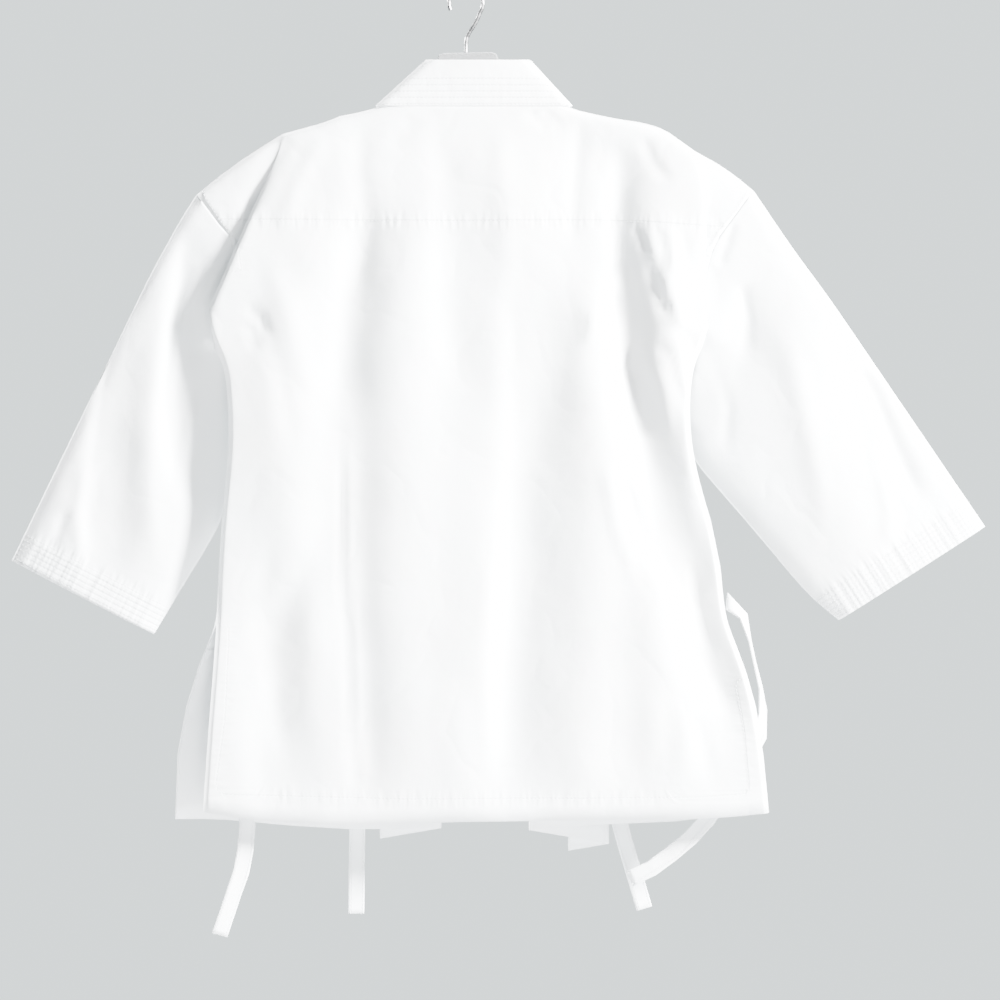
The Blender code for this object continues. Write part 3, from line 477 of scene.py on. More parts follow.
# %% Creases of the sleeves
LEFT_SLEEVE_BACK = [
    Crease(-5.5, 9, 24, [(276, 232), (290, 330), (298, 420), (288, 520)]),
    Crease(3.0, 24, 12, [(300, 270), (316, 420), (318, 500), (310, 600)]),
    Crease(-3.6, 9, 28, [(350, 330), (368, 440), (377, 520), (374, 610)]),
    Crease(-2.4, 6, 6, [(246, 360), (262, 400), (254, 470)]),
    Crease(2.0, 8, 8, [(376, 470), (388, 530), (382, 580)]),
    Crease(-1.8, 6, 6, [(400, 520), (408, 548), (420, 566)]),
]
LEFT_SLEEVE_FRONT = [
    Crease(3.0, 8, 8, [(256, 240), (282, 330), (310, 440)]),
    Crease(-2.8, 9, 7, [(300, 300), (336, 420), (352, 560)]),
    Crease(2.4, 8, 8, [(266, 400), (286, 480), (300, 590)]),
    Crease(-2.2, 7, 7, [(366, 440), (380, 520), (394, 570)]),
]
RIGHT_SLEEVE_BACK = [
    Crease(-3.4, 8, 10, [(-384, 366), (-410, 410), (-430, 462), (-458, 524)]),
    Crease(-2.6, 6, 8, [(-276, 292), (-282, 330), (-278, 372)]),
    Crease(2.2, 14, 12, [(-316, 330), (-340, 430), (-364, 560)]),
    Crease(-2.0, 7, 7, [(-246, 372), (-262, 420), (-258, 470)]),
    Crease(1.8, 8, 8, [(-414, 480), (-424, 530), (-420, 560)]),
    Crease(-2.0, 6, 6, [(-268, 232), (-262, 252), (-252, 282)]),
]
RIGHT_SLEEVE_FRONT = [
    Crease(3.0, 8, 8, [(-262, 240), (-300, 340), (-330, 450)]),
    Crease(-2.8, 8, 8, [(-330, 310), (-380, 420), (-410, 540)]),
    Crease(2.4, 8, 8, [(-270, 420), (-310, 500), (-350, 600)]),
]
SLEEVE_MIDDLE = -1          # the depth halfway between the two layers
LAYER_BLEND = 9


def layer_share(name, sign):
    """Full in the back layer for a sign of 1, and in the front layer for a sign of -1."""
    depth = coordinates(shells[name])[:, 1] / MM
    return FREE[name] * ease(0.5 + sign * (depth - SLEEVE_MIDDLE) / LAYER_BLEND)


for name, back_layer, front_layer, seed in (("sleeve_left", LEFT_SLEEVE_BACK, LEFT_SLEEVE_FRONT, 4),
                                            ("sleeve_right", RIGHT_SLEEVE_BACK, RIGHT_SLEEVE_FRONT, 6)):
    press_creases(shells[name], back_layer, seed, layer_share(name, 1))
    press_creases(shells[name], front_layer, seed + 1, layer_share(name, -1))

# %% [markdown]
# ## Where the rows of stitching run
# The hems, the slits and the armholes are held by one row of stitching each. A row could be painted on a
# picture, but here it is kept on the cloth as a number at each point: the distance to the row, positive
# towards the middle of the panel. The material presses a fine groove where that number is nought, and the
# stitches are later laid along the same line, so the two always agree. A second number says how far along
# the row a point lies, so that the small puckers beside it run across it. On a panel that is x along the
# hem and the drop along the sides, and it goes on evenly round the corners.

# %% Rows of the panels
# the armholes' seams, down to where the sleeve covers them
RIGHT_ARMHOLE = [(-288, 196), (-284, 206), (-272, 225), (-258, 240), (-240, 268)]
LEFT_ARMHOLE = [(270, 200), (263, 214), (248, 236), (232, 256), (228, 285)]
SEAM_TO_ROW = 4
HEM_DROP = 808
SIDE_X, CORNER = 210, 20    # where the hem's run ends, and over how much it bends into the side's
NO_ROW = 900.0              # the distance where no row is near


def beside(path, offset):
    return [(x + offset, drop) for x, drop in path]


BACK_ROWS = [
    [(-320, 803), (-286, 805), (-236, 809), (-141, 810), (60, 811), (180, 808), (262, 806), (300, 806)],
    [(256, 846), (240, 730), (236, 640)],
    [(-268, 690), (-277, 740), (-286, 846)],
    beside(RIGHT_ARMHOLE, SEAM_TO_ROW),
    beside(LEFT_ARMHOLE, -SEAM_TO_ROW),
]
LEFT_FRONT_ROWS = [
    [(300, 818), (262, 819), (160, 826), (20, 832)],
    [(262, 846), (256, 740), (248, 660)],
    beside(LEFT_ARMHOLE, -SEAM_TO_ROW),
]
RIGHT_FRONT_ROWS = [
    [(-310, 818), (-240, 820), (-60, 826)],
    [(-290, 846), (-284, 740), (-272, 690)],
    beside(RIGHT_ARMHOLE, SEAM_TO_ROW),
]
INSIDE = {"back": (0, 500), "front_left": (150, 500), "front_right": (-150, 500)}


def measure_rows(name, rows):
    """The least signed distance to the rows, positive on the side of the panel's point inside."""
    inside_x, inside_drop = INSIDE[name]
    points = coordinates(shells[name])
    x, drop = points[:, 0] / MM, drop_of(points[:, 2])
    gap = np.full(len(x), NO_ROW)
    for path in rows:
        signed, along, length = path_measures(x, drop, path)
        inner, _, _ = path_measures(np.array([inside_x]), np.array([inside_drop]), path)
        signed = signed * np.sign(inner[0])
        past_end = (along <= 0) | (along >= length)
        signed = np.where(past_end, np.abs(signed), signed)
        gap = np.minimum(gap, signed)
    upward = np.sign(x) * (HEM_DROP - drop) * ease((np.abs(x) - (SIDE_X - CORNER)) / CORNER)
    return gap, np.clip(x, -SIDE_X, SIDE_X) + upward


def store_rows(name, gap, run, kind="row"):
    store(shells[name], kind + "_gap", gap)
    store(shells[name], kind + "_run", run)
    print(name, "has", kind, "numbers from", round(float(gap.min())), "to", round(float(gap.max())), "mm")


for name, rows in (("back", BACK_ROWS), ("front_left", LEFT_FRONT_ROWS),
                   ("front_right", RIGHT_FRONT_ROWS)):
    store_rows(name, *measure_rows(name, rows))

# %% [markdown]
# Across the back runs the edge of the shoulder reinforcement, a second layer of canvas inside. It gets a
# number of its own, because it crosses the rows of the armholes. The cuffs and the neck band have several
# rows side by side, so their number goes on growing from the first row to the last. A tie is sewn near
# both edges: its number is measured from the middle, and one value stands for both rows.

# %% Rows of the reinforcement, the cuffs, the neck band and the ties


def measure_line(name, path):
    points = coordinates(shells[name])
    return path_measures(points[:, 0] / MM, drop_of(points[:, 2]), path)[:2]


YOKE_DROP = 233
YOKE_ROW = [(290, YOKE_DROP - 2), (212, YOKE_DROP), (0, YOKE_DROP + 1), (-127, YOKE_DROP),
            (-165, YOKE_DROP + 1), (-236, YOKE_DROP + 6), (-300, YOKE_DROP + 8)]
store_rows("back", *measure_line("back", YOKE_ROW), kind="line")

CUFFS = {"sleeve_left": [(454.5, 574), (313.3, 647)], "sleeve_right": [(-374, 633), (-519.5, 540)]}
CUFF_ROWS, CUFF_SPACING, FIRST_CUFF_ROW = 6, 5.2, 3.5
for name, cuff in CUFFS.items():
    gap, run = measure_line(name, cuff)
    store_rows(name, np.abs(gap) - FIRST_CUFF_ROW, run)

LAPELS = ("lapel_left", "lapel_right")
BAND_ROWS, BAND_SPACING, FIRST_BAND_ROW = 5, 6.3, 1.5
COLLAR_FOOT = 118.6
collar_points = coordinates(shells["collar"])
store_rows("collar", COLLAR_FOOT - FIRST_BAND_ROW - drop_of(collar_points[:, 2]), collar_points[:, 0] / MM)
for name in LAPELS:
    store_rows(name, stored(shells[name], "row_gap") - FIRST_BAND_ROW,
               drop_of(coordinates(shells[name])[:, 2]))

TIE_MIDDLES = {
    "tie_side_left": [(234, 642), (230, 710), (219, 832), (222, 872), (232, 905), (247, 949)],
    "tie_side_right": [(-260, 614), (-275, 624), (-292, 690), (-297, 738), (-262, 802), (-209, 865),
                       (-164, 893)],
    "tie_front_left": [(95, 618), (107, 690), (110, 850), (111, 930)],
    "tie_front_right": [(-101, 620), (-138, 770), (-155, 840), (-180, 926)],
}
TIE_ROW = 5.8               # from the middle of a tie to the row beside each edge
for name, middle in TIE_MIDDLES.items():
    gap, run = measure_line(name, middle)
    store_rows(name, TIE_ROW - np.abs(gap), run)

# %% [markdown]
# ## Shared effects
# Every canvas material uses the same few effects, so each is a shader node group that is built once: the
# plain weave, the rows of stitching with their groove and puckers, the fine crumple of washed cotton, and
# its tone with painted shade in the grooves. These helpers make a group with named inputs and outputs and
# put nodes into it.

# %% Helpers for node groups


def new_group(name, inputs, outputs):
    group = bpy.data.node_groups.new(name, "ShaderNodeTree")
    for label, kind, value in inputs:
        socket = group.interface.new_socket(label, in_out="INPUT", socket_type=kind)
        if value is not None:
            socket.default_value = value
    for label, kind in outputs:
        group.interface.new_socket(label, in_out="OUTPUT", socket_type=kind)
    return group, group.nodes.new("NodeGroupInput"), group.nodes.new("NodeGroupOutput")


def feed(tree, socket, value):
    """Sets a number on the socket, and links anything else to it."""
    if isinstance(value, (int, float)):
        socket.default_value = value
    else:
        tree.links.new(value, socket)


def math_node(tree, operation, *values):
    node = tree.nodes.new("ShaderNodeMath")
    node.operation = operation
    for socket, value in zip(node.inputs, values):
        feed(tree, socket, value)
    return node.outputs[0]


def noise_node(tree, vector, scale, detail=2.0):
    node = tree.nodes.new("ShaderNodeTexNoise")
    node.inputs["Detail"].default_value = detail
    node.inputs["Scale"].default_value = scale
    tree.links.new(vector, node.inputs["Vector"])
    return node.outputs["Fac"]


def bell(tree, distance, width):
    """A bump of one at nought that fades within the width: exp(-(distance / width) ** 2)."""
    share = math_node(tree, "DIVIDE", distance, width)
    square = math_node(tree, "MULTIPLY", share, share)
    return math_node(tree, "EXPONENT", math_node(tree, "MULTIPLY", square, -1.0))


# %% [markdown]
# Canvas is a plain weave of thick threads, each over one and under the next. From a metre off it only
# shows as a fine grain, so it isn't modelled. Two crossed sine waves give the pattern of overs and
# unders, and a noise makes some threads thicker than others.

# %% The plain weave
WEAVE_PITCH = 1.1
SLUB_SCALE = 420.0


def make_weave_group():
    """Threads over and under at a pitch in millimetres, a little uneven."""
    group, given, result = new_group("plain_weave", [("Position", "NodeSocketVector", None),
                                                     ("Pitch", "NodeSocketFloat", WEAVE_PITCH)],
                                     [("Height", "NodeSocketFloat")])
    split = group.nodes.new("ShaderNodeSeparateXYZ")
    group.links.new(given.outputs["Position"], split.inputs[0])
    turn = math_node(group, "DIVIDE", 2 * math.pi / MM, given.outputs["Pitch"])
    across = math_node(group, "SINE", math_node(group, "MULTIPLY", split.outputs["X"], turn))
    down = math_node(group, "SINE", math_node(group, "MULTIPLY", split.outputs["Z"], turn))
    checker = math_node(group, "MULTIPLY", across, down)
    slub = noise_node(group, given.outputs["Position"], SLUB_SCALE)
    group.links.new(math_node(group, "MULTIPLY", checker, slub), result.inputs["Height"])
    return group


# %% [markdown]
# A row of stitching pulls the cloth into a groove, gathers it into puckers that run across the row, and
# holds down a hem, which is thicker than the cloth beside it. All three follow from the two numbers on
# the cloth, so they stay with the row on every piece.

# %% The rows of stitching
GROOVE_WIDTH = 0.9
GROOVE_DEPTH = 0.4
FOLD_EDGE = 2.0             # over how much the doubled cloth of a hem steps down
PUCKER_REACH = 8.0
PUCKERS_ALONG = 0.13        # how fast the puckers change along the row, and slowly away from it
PUCKERS_ACROSS = 0.03


def make_rows_group():
    """Gap and Run are the numbers on the cloth. Rows beyond the first follow at Spacing. Fold is the
    extra thickness outside the last row, and Pucker the height of the small folds across the rows."""
    group, given, result = new_group(
        "stitch_rows",
        [("Gap", "NodeSocketFloat", NO_ROW), ("Run", "NodeSocketFloat", 0.0),
         ("Spacing", "NodeSocketFloat", 5.0), ("Rows", "NodeSocketFloat", 1.0),
         ("Fold", "NodeSocketFloat", 0.4), ("Pucker", "NodeSocketFloat", 0.5)],
        [("Height", "NodeSocketFloat"), ("Line", "NodeSocketFloat")])
    last = math_node(group, "SUBTRACT", given.outputs["Rows"], 1.0)
    share = math_node(group, "DIVIDE", given.outputs["Gap"], given.outputs["Spacing"])
    nearest = math_node(group, "ROUND", share)
    nearest = math_node(group, "MINIMUM", math_node(group, "MAXIMUM", nearest, 0.0), last)
    row_place = math_node(group, "MULTIPLY", nearest, given.outputs["Spacing"])
    from_row = math_node(group, "SUBTRACT", given.outputs["Gap"], row_place)
    line = bell(group, from_row, GROOVE_WIDTH)
    last_place = math_node(group, "MULTIPLY", last, given.outputs["Spacing"])
    beyond = math_node(group, "SUBTRACT", given.outputs["Gap"], last_place)
    step = group.nodes.new("ShaderNodeMapRange")
    step.interpolation_type = "SMOOTHSTEP"
    step.inputs["From Min"].default_value = FOLD_EDGE
    step.inputs["From Max"].default_value = 0.0
    group.links.new(beyond, step.inputs["Value"])
    raised = math_node(group, "MULTIPLY", step.outputs["Result"], given.outputs["Fold"])
    place = group.nodes.new("ShaderNodeCombineXYZ")
    group.links.new(math_node(group, "MULTIPLY", given.outputs["Run"], PUCKERS_ALONG), place.inputs["X"])
    group.links.new(math_node(group, "MULTIPLY", from_row, PUCKERS_ACROSS), place.inputs["Y"])
    ripple = noise_node(group, place.outputs[0], scale=1.0, detail=1.0)
    ripple = math_node(group, "SUBTRACT", ripple, 0.5)
    pucker = math_node(group, "MULTIPLY", ripple, bell(group, from_row, PUCKER_REACH))
    pucker = math_node(group, "MULTIPLY", pucker, given.outputs["Pucker"])
    groove = math_node(group, "MULTIPLY", line, GROOVE_DEPTH)
    height = math_node(group, "SUBTRACT", math_node(group, "ADD", raised, pucker), groove)
    group.links.new(height, result.inputs["Height"])
    # the groove's shape also goes out alone, as the mask for painted shade in the colour
    group.links.new(line, result.inputs["Line"])
    return group


# %% [markdown]
# Washed canvas is never quite flat or quite even in colour. Faint lumps and short creases are too fine for
# the mesh, so they are a height in the material, and two whites that blend into each other keep the
# large panels from looking like paper. Each groove of stitching is painted a little grey, as its shade.

# %% The crumple, the tone of washed cotton and the painted shade of its grooves
LUMP_SCALE, RIDGE_SCALE, TONE_SCALE = 34.0, 11.0, 9.0
RIDGE_WIDTH, RIDGE_STEEPNESS = 0.06, 5.0
COOL_WHITE = (0.82, 0.88, 0.90, 1)
WARM_WHITE = (0.90, 0.905, 0.91, 1)
# a grey painted along the grooves of stitching, as their shade
GROOVE_SHADE_WHITE = (0.66, 0.68, 0.70, 1)
GROOVE_SHADE_SHARE = 0.55        # how much of that painted shade shows in a groove


def make_crumple_group():
    group, given, result = new_group("cotton_crumple", [("Position", "NodeSocketVector", None)],
                                     [("Height", "NodeSocketFloat")])
    lumps = noise_node(group, given.outputs["Position"], LUMP_SCALE, detail=3.0)
    ridges = noise_node(group, given.outputs["Position"], RIDGE_SCALE)
    fold = math_node(group, "ABSOLUTE", math_node(group, "SUBTRACT", ridges, 0.5))
    fold = math_node(group, "MULTIPLY", math_node(group, "MINIMUM", fold, RIDGE_WIDTH), RIDGE_STEEPNESS)
    group.links.new(math_node(group, "ADD", lumps, fold), result.inputs["Height"])
    return group


def make_tone_and_groove_shade_group():
    """White cotton, a little cooler in places, and darker along each row of stitching, as painted shade in
    its groove.
    """
    group, given, result = new_group("cotton_tone_and_groove_shade", [("Position", "NodeSocketVector", None),
                                                     ("Line", "NodeSocketFloat", 0.0)],
                                     [("Color", "NodeSocketColor")])
    mix = group.nodes.new("ShaderNodeMix")
    mix.data_type = "RGBA"
    mix.inputs["A"].default_value = COOL_WHITE
    mix.inputs["B"].default_value = WARM_WHITE
    group.links.new(noise_node(group, given.outputs["Position"], TONE_SCALE), mix.inputs["Factor"])
    groove_shade_mix = group.nodes.new("ShaderNodeMix")
    groove_shade_mix.data_type = "RGBA"
    groove_shade_mix.inputs["B"].default_value = GROOVE_SHADE_WHITE
    groove_shade = math_node(group, "MULTIPLY", given.outputs["Line"], GROOVE_SHADE_SHARE)
    group.links.new(groove_shade, groove_shade_mix.inputs["Factor"])
    group.links.new(mix.outputs["Result"], groove_shade_mix.inputs["A"])
    group.links.new(groove_shade_mix.outputs["Result"], result.inputs["Color"])
    return group


WEAVE = make_weave_group()
ROWS = make_rows_group()
CRUMPLE = make_crumple_group()
TONE_AND_GROOVE_SHADE = make_tone_and_groove_shade_group()
print("effects:", [group.name for group in (WEAVE, ROWS, CRUMPLE, TONE_AND_GROOVE_SHADE)])

# %% [markdown]
# ## The canvas
# The cloth is a firm, matte cotton with a trace of nap, so it is rough, has a low gloss and a little sheen.
# One recipe makes all the canvas materials, which keeps them the same cloth. They differ in the direction
# of the grain, which follows a sleeve, and in how many rows of stitching lie beside each other.

# %% The canvas recipe
CLOTH_FINISH = {"Roughness": 0.88, "Sheen Weight": 0.25, "Sheen Roughness": 0.5,
                "Specular IOR Level": 0.25}
YOKE_FOLD, YOKE_PUCKER = 0.25, 2.0
WEAVE_HEIGHT = 0.13
CRUMPLE_HEIGHT = 0.9


def start_material(name):
    """A new material, its node tree, its shader and the place on the piece."""
    material = bpy.data.materials.new(name)
    material.use_nodes = True
    tree = material.node_tree
    place = tree.nodes.new("ShaderNodeTexCoord").outputs["Object"]
    return material, tree, tree.nodes["Principled BSDF"], place


def placed(tree, group, **values):
    node = tree.nodes.new("ShaderNodeGroup")
    node.node_tree = group
    for label, value in values.items():
        feed(tree, node.inputs[label], value)
    return node


def number_on_cloth(tree, name):
    node = tree.nodes.new("ShaderNodeAttribute")
    node.attribute_name = name
    return node.outputs["Fac"]


def canvas(name, grain=0.0, spacing=5.0, rows=1, fold=0.4, pucker=1.6, line=False):
    material, tree, shader, position = start_material(name)
    for socket, value in CLOTH_FINISH.items():
        shader.inputs[socket].default_value = value
    turned = tree.nodes.new("ShaderNodeMapping")
    turned.inputs["Rotation"].default_value = (0, math.radians(grain), 0)
    tree.links.new(position, turned.inputs["Vector"])
    sewn = placed(tree, ROWS, Gap=number_on_cloth(tree, "row_gap"), Run=number_on_cloth(tree, "row_run"),
                  Spacing=spacing, Rows=float(rows), Fold=fold, Pucker=pucker)
    # the groove's mask goes on to the colour, where it paints shade into the rows
    height, groove_shade = sewn.outputs["Height"], sewn.outputs["Line"]
    if line:
        second = placed(tree, ROWS, Gap=number_on_cloth(tree, "line_gap"),
                        Run=number_on_cloth(tree, "line_run"), Fold=YOKE_FOLD, Pucker=YOKE_PUCKER)
        height = math_node(tree, "ADD", height, second.outputs["Height"])
        groove_shade = math_node(tree, "MAXIMUM", groove_shade, second.outputs["Line"])
    for effect, share in ((WEAVE, WEAVE_HEIGHT), (CRUMPLE, CRUMPLE_HEIGHT)):
        surface = placed(tree, effect, Position=turned.outputs["Vector"])
        height = math_node(tree, "ADD", height,
                           math_node(tree, "MULTIPLY", surface.outputs["Height"], share))
    bump = tree.nodes.new("ShaderNodeBump")
    bump.inputs["Distance"].default_value = MM
    tree.links.new(height, bump.inputs["Height"])
    tree.links.new(bump.outputs["Normal"], shader.inputs["Normal"])
    tone_and_shade = placed(tree, TONE_AND_GROOVE_SHADE, Position=position, Line=groove_shade)
    tree.links.new(tone_and_shade.outputs["Color"], shader.inputs["Base Color"])
    return material


CUFF = {"spacing": CUFF_SPACING, "rows": CUFF_ROWS, "fold": 0.5, "pucker": 3.2}
CANVASES = {
    "back": canvas("canvas_back", line=True),
    "front_left": canvas("canvas_fronts"),
    "collar": canvas("canvas_band", spacing=BAND_SPACING, rows=BAND_ROWS, fold=0.0, pucker=0.5),
    "sleeve_left": canvas("canvas_left_sleeve", grain=26, **CUFF),
    "sleeve_right": canvas("canvas_right_sleeve", grain=-34, **CUFF),
    "tie_side_left": canvas("canvas_tape", fold=0.15, pucker=0.3),
}
WEARS = {"front_right": "front_left", "lapel_left": "collar", "lapel_right": "collar",
         "tie_side_right": "tie_side_left", "tie_front_left": "tie_side_left",
         "tie_front_right": "tie_side_left"}
for name, shell in shells.items():
    shell.data.materials.append(CANVASES[WEARS.get(name, name)])
    print(name, "wears", shell.data.materials[0].name)

# %% [markdown]
# ## The stitches
# The thread shows as short capsules, each sunk halfway into its groove. They could be drawn in the
# material, but real ones catch the light and show at the edges. A row is found on the mesh as the line
# where its number crosses nought, so it stays on the cloth however that is creased.

# %% Find a row on the cloth


def crossing_points(piece, field, value):
    """Links between the mesh edges that the row crosses, face by face, with a place and a normal each."""
    mesh = piece.data
    signs = field < value
    links = defaultdict(list)
    normals = {}
    for face in mesh.polygons:
        corners = face.vertices
        if all(signs[c] for c in corners) or not any(signs[c] for c in corners):
            continue
        crossed = [key for key in face.edge_keys if signs[key[0]] != signs[key[1]]]
        if len(crossed) == 2:
            links[crossed[0]].append(crossed[1])
            links[crossed[1]].append(crossed[0])
            normals[crossed[0]] = normals[crossed[1]] = face.normal.copy()
    places = {}
    for a, b in links:
        share = (value - field[a]) / (field[b] - field[a])
        places[(a, b)] = mesh.vertices[a].co.lerp(mesh.vertices[b].co, float(share))
    return links, places, normals


def chains(links):
    """The rows as runs of neighbouring crossings."""
    unused = set(links)
    ends = sorted(key for key in links if len(links[key]) == 1)
    for start in ends + sorted(links):
        if start not in unused:
            continue
        chain = [start]
        unused.discard(start)
        while True:
            onward = [key for key in links[chain[-1]] if key in unused]
            if not onward:
                break
            chain.append(onward[0])
            unused.discard(onward[0])
        if len(chain) > 2:
            yield chain


# %% [markdown]
# One stitch is modelled by hand: a small ball, turned so that its poles lie along the row, and stretched
# to the stitch's length. It has few faces, because thousands of copies are laid along the rows.

# %% Model one stitch
STITCH_LENGTH = 2.7
STITCH_PITCH = 4.0
STITCH_RADIUS = 0.34


def make_one_stitch():
    bpy.ops.object.select_all(action="DESELECT")
    bpy.ops.mesh.primitive_uv_sphere_add(segments=6, ring_count=4, radius=STITCH_RADIUS * MM)
    stitch = bpy.context.object
    bpy.ops.object.mode_set(mode="EDIT")
    bpy.ops.mesh.select_all(action="SELECT")
    bpy.ops.transform.rotate(value=math.pi / 2, orient_axis="Y", center_override=(0, 0, 0))
    bpy.ops.transform.resize(value=(STITCH_LENGTH / 2 / STITCH_RADIUS, 1, 1))
    bpy.ops.object.mode_set(mode="OBJECT")
    points = coordinates(stitch)
    faces = [tuple(face.vertices) for face in stitch.data.polygons]
    bpy.data.objects.remove(stitch)
    return points, faces


STITCH_POINTS, STITCH_FACES = make_one_stitch()
print("one stitch has", len(STITCH_FACES), "faces")

# %% [markdown]
# Each copy is turned to the direction of its row and to the cloth below it. All the stitches of a piece are
# one mesh, as they are one thread on the jacket. Corners are worked out as numbers, because thousands of
# separate objects would make Blender slow.

# %% Lay its copies along a row
threads = {}


def along_chain(chain, places, normals):
    """A place, a direction and a normal for each stitch."""
    points = [places[key] for key in chain]
    gone, wanted = 0.0, STITCH_PITCH / 2
    for start, end, key in zip(points, points[1:], chain):
        step = (end - start).length / MM
        while step > 0 and gone + step > wanted:
            yield start.lerp(end, (wanted - gone) / step), (end - start).normalized(), normals[key]
            wanted += STITCH_PITCH
        gone += step


def sew(name, values, seen, field="row_gap", thread_name=None):
    """One mesh with the stitches of a piece, where its numbers take the values and they are seen."""
    piece = shells[name]
    numbers = stored(piece, field)
    points, faces = [], []
    for value in values:
        links, places, normals = crossing_points(piece, numbers, value)
        for chain in chains(links):
            for place, ahead, normal in along_chain(chain, places, normals):
                if not seen(place, normal):
                    continue
                side = normal.cross(ahead).normalized()
                turn = np.array(Matrix((ahead, side, normal)).transposed())
                faces += [tuple(corner + len(points) * len(STITCH_POINTS) for corner in face)
                          for face in STITCH_FACES]
                points.append(STITCH_POINTS @ turn.T + np.array(place))
    label = (thread_name or name) + "_thread"
    mesh = bpy.data.meshes.new(label)
    mesh.from_pydata(np.concatenate(points).tolist(), [], faces)
    mesh.shade_smooth()
    threads[label] = bpy.data.objects.new(label, mesh)
    bpy.context.scene.collection.objects.link(threads[label])
    print(label, len(points), "stitches")


# %% [markdown]
# The panels are sewn with single rows, the cuffs and the band with several side by side. On the back, the
# fronts and the lapels only the outer side is sewn in full thread, because the inner one lies against
# other cloth and is hardly seen. There the groove in the cloth is enough. The collar, the ties and the
# outside of both sleeves are sewn all over.

# %% Sew every piece
FACING = 0.3                # how far a face must turn backwards or forwards to count as outer
BAND_FRONT = -6             # the lapels' outer side lies in front of this depth
OFF_THE_RIM = 0.01          # keeps a lapel's first row clear of points that lie exactly on it


def everywhere(place, normal):
    return True


def behind(place, normal):
    return normal.y > FACING


def before(place, normal):
    return normal.y < -FACING


def outside_of_sleeve(place, normal):
    return normal.y * (place.y - SLEEVE_MIDDLE * MM) > 0


def front_of_band(place, normal):
    return before(place, normal) and place.y < BAND_FRONT * MM


sew("back", [0], behind)
sew("back", [0], behind, "line_gap", "yoke")
sew("front_left", [0], before)
sew("front_right", [0], before)
band_rows = [k * BAND_SPACING for k in range(BAND_ROWS)]
sew("collar", band_rows, everywhere)
for name in LAPELS:
    sew(name, [row + OFF_THE_RIM for row in band_rows], front_of_band)
for name in CUFFS:
    sew(name, [k * CUFF_SPACING for k in range(CUFF_ROWS)], outside_of_sleeve)
for name in TIE_MIDDLES:
    sew(name, [0], everywhere)

cotton, cotton_tree, cotton_shader, cotton_place = start_material("cotton_thread")
cotton_shader.inputs["Roughness"].default_value = 0.7
cotton_tone_and_groove_shade = placed(cotton_tree, TONE_AND_GROOVE_SHADE, Position=cotton_place)
cotton_tree.links.new(cotton_tone_and_groove_shade.outputs["Color"], cotton_shader.inputs["Base Color"])
for thread in threads.values():
    thread.data.materials.append(cotton)

# %% [markdown]
# ## Plastic and steel
# The hanger is moulded in one piece of clear, glossy plastic, and the hook is plated wire. The jacket hides
# nearly all of the hanger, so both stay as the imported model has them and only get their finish. Fine
# scuffs keep them from looking like perfect glass and mirror.

# %% Finish the hanger and the hook
SCUFF_DETAIL = 4.0
SCUFF_DEPTH = 0.05


def scuffed(name, color, base_roughness, spread, scale):
    """A hard finish whose roughness grows from its base by the spread where it is scuffed."""
    material, tree, shader, position = start_material(name)
    shader.inputs["Base Color"].default_value = color
    scuffs = noise_node(tree, position, scale, SCUFF_DETAIL)
    roughness = math_node(tree, "ADD", math_node(tree, "MULTIPLY", scuffs, spread), base_roughness)
    tree.links.new(roughness, shader.inputs["Roughness"])
    bump = tree.nodes.new("ShaderNodeBump")
    bump.inputs["Distance"].default_value = SCUFF_DEPTH * MM
    tree.links.new(scuffs, bump.inputs["Height"])
    tree.links.new(bump.outputs["Normal"], shader.inputs["Normal"])
    return material, shader


clear_plastic, plastic_shader = scuffed("clear_plastic", (0.93, 0.95, 0.96, 1),
                                        base_roughness=0.04, spread=0.12, scale=160.0)
plastic_shader.inputs["Transmission Weight"].default_value = 0.85
plastic_shader.inputs["IOR"].default_value = 1.47
bright_steel, steel_shader = scuffed("bright_steel", (0.78, 0.78, 0.79, 1),
                                     base_roughness=0.12, spread=0.2, scale=300.0)
steel_shader.inputs["Metallic"].default_value = 1.0
for node_name, finish in (("hanger", clear_plastic), ("hook", bright_steel)):
    node = frame["nodes"][node_name]
    node.data.materials.clear()
    node.data.materials.append(finish)
    print(node_name, "is finished as", finish.name)

# %% [markdown]
# ## Camera
# The camera looks at the back, level and from far away, as for a picture in a catalogue. The lens follows
# from the frame: it is one metre wide at the jacket.

# %% Camera
FRAME_WIDTH = 1.0           # in metres, as all sizes from here on
CAMERA_DISTANCE = 5.0
SENSOR_WIDTH = 36           # of the camera, and its lens is in the same unit
CENTRE = Vector((-0.034, 0.01, -0.513))
camera_data = bpy.data.cameras.new("camera")
camera_data.sensor_width = SENSOR_WIDTH
camera_data.lens = SENSOR_WIDTH * CAMERA_DISTANCE / FRAME_WIDTH
camera = bpy.data.objects.new("camera", camera_data)
bpy.context.scene.collection.objects.link(camera)
camera.location = CENTRE + Vector((0, CAMERA_DISTANCE, 0))
camera.rotation_euler = (math.pi / 2, 0, math.pi)
bpy.context.scene.camera = camera
print("the camera has a lens of", round(camera_data.lens), "mm")

# %% [markdown]
# ## Wall, floor and lamps
# White cloth only shows its folds in a light from the side. A strong lamp far round to one side makes
# them, and a weak one on the other side keeps their shaded halves from going dark. A small low one
# reaches the ends of the band and the ties, which hang in the hem's shade. The front has a pair of lamps
# of its own. The wall looks pale to the camera, but only a little of its light falls on the cloth,
# because an even light would hide the folds.

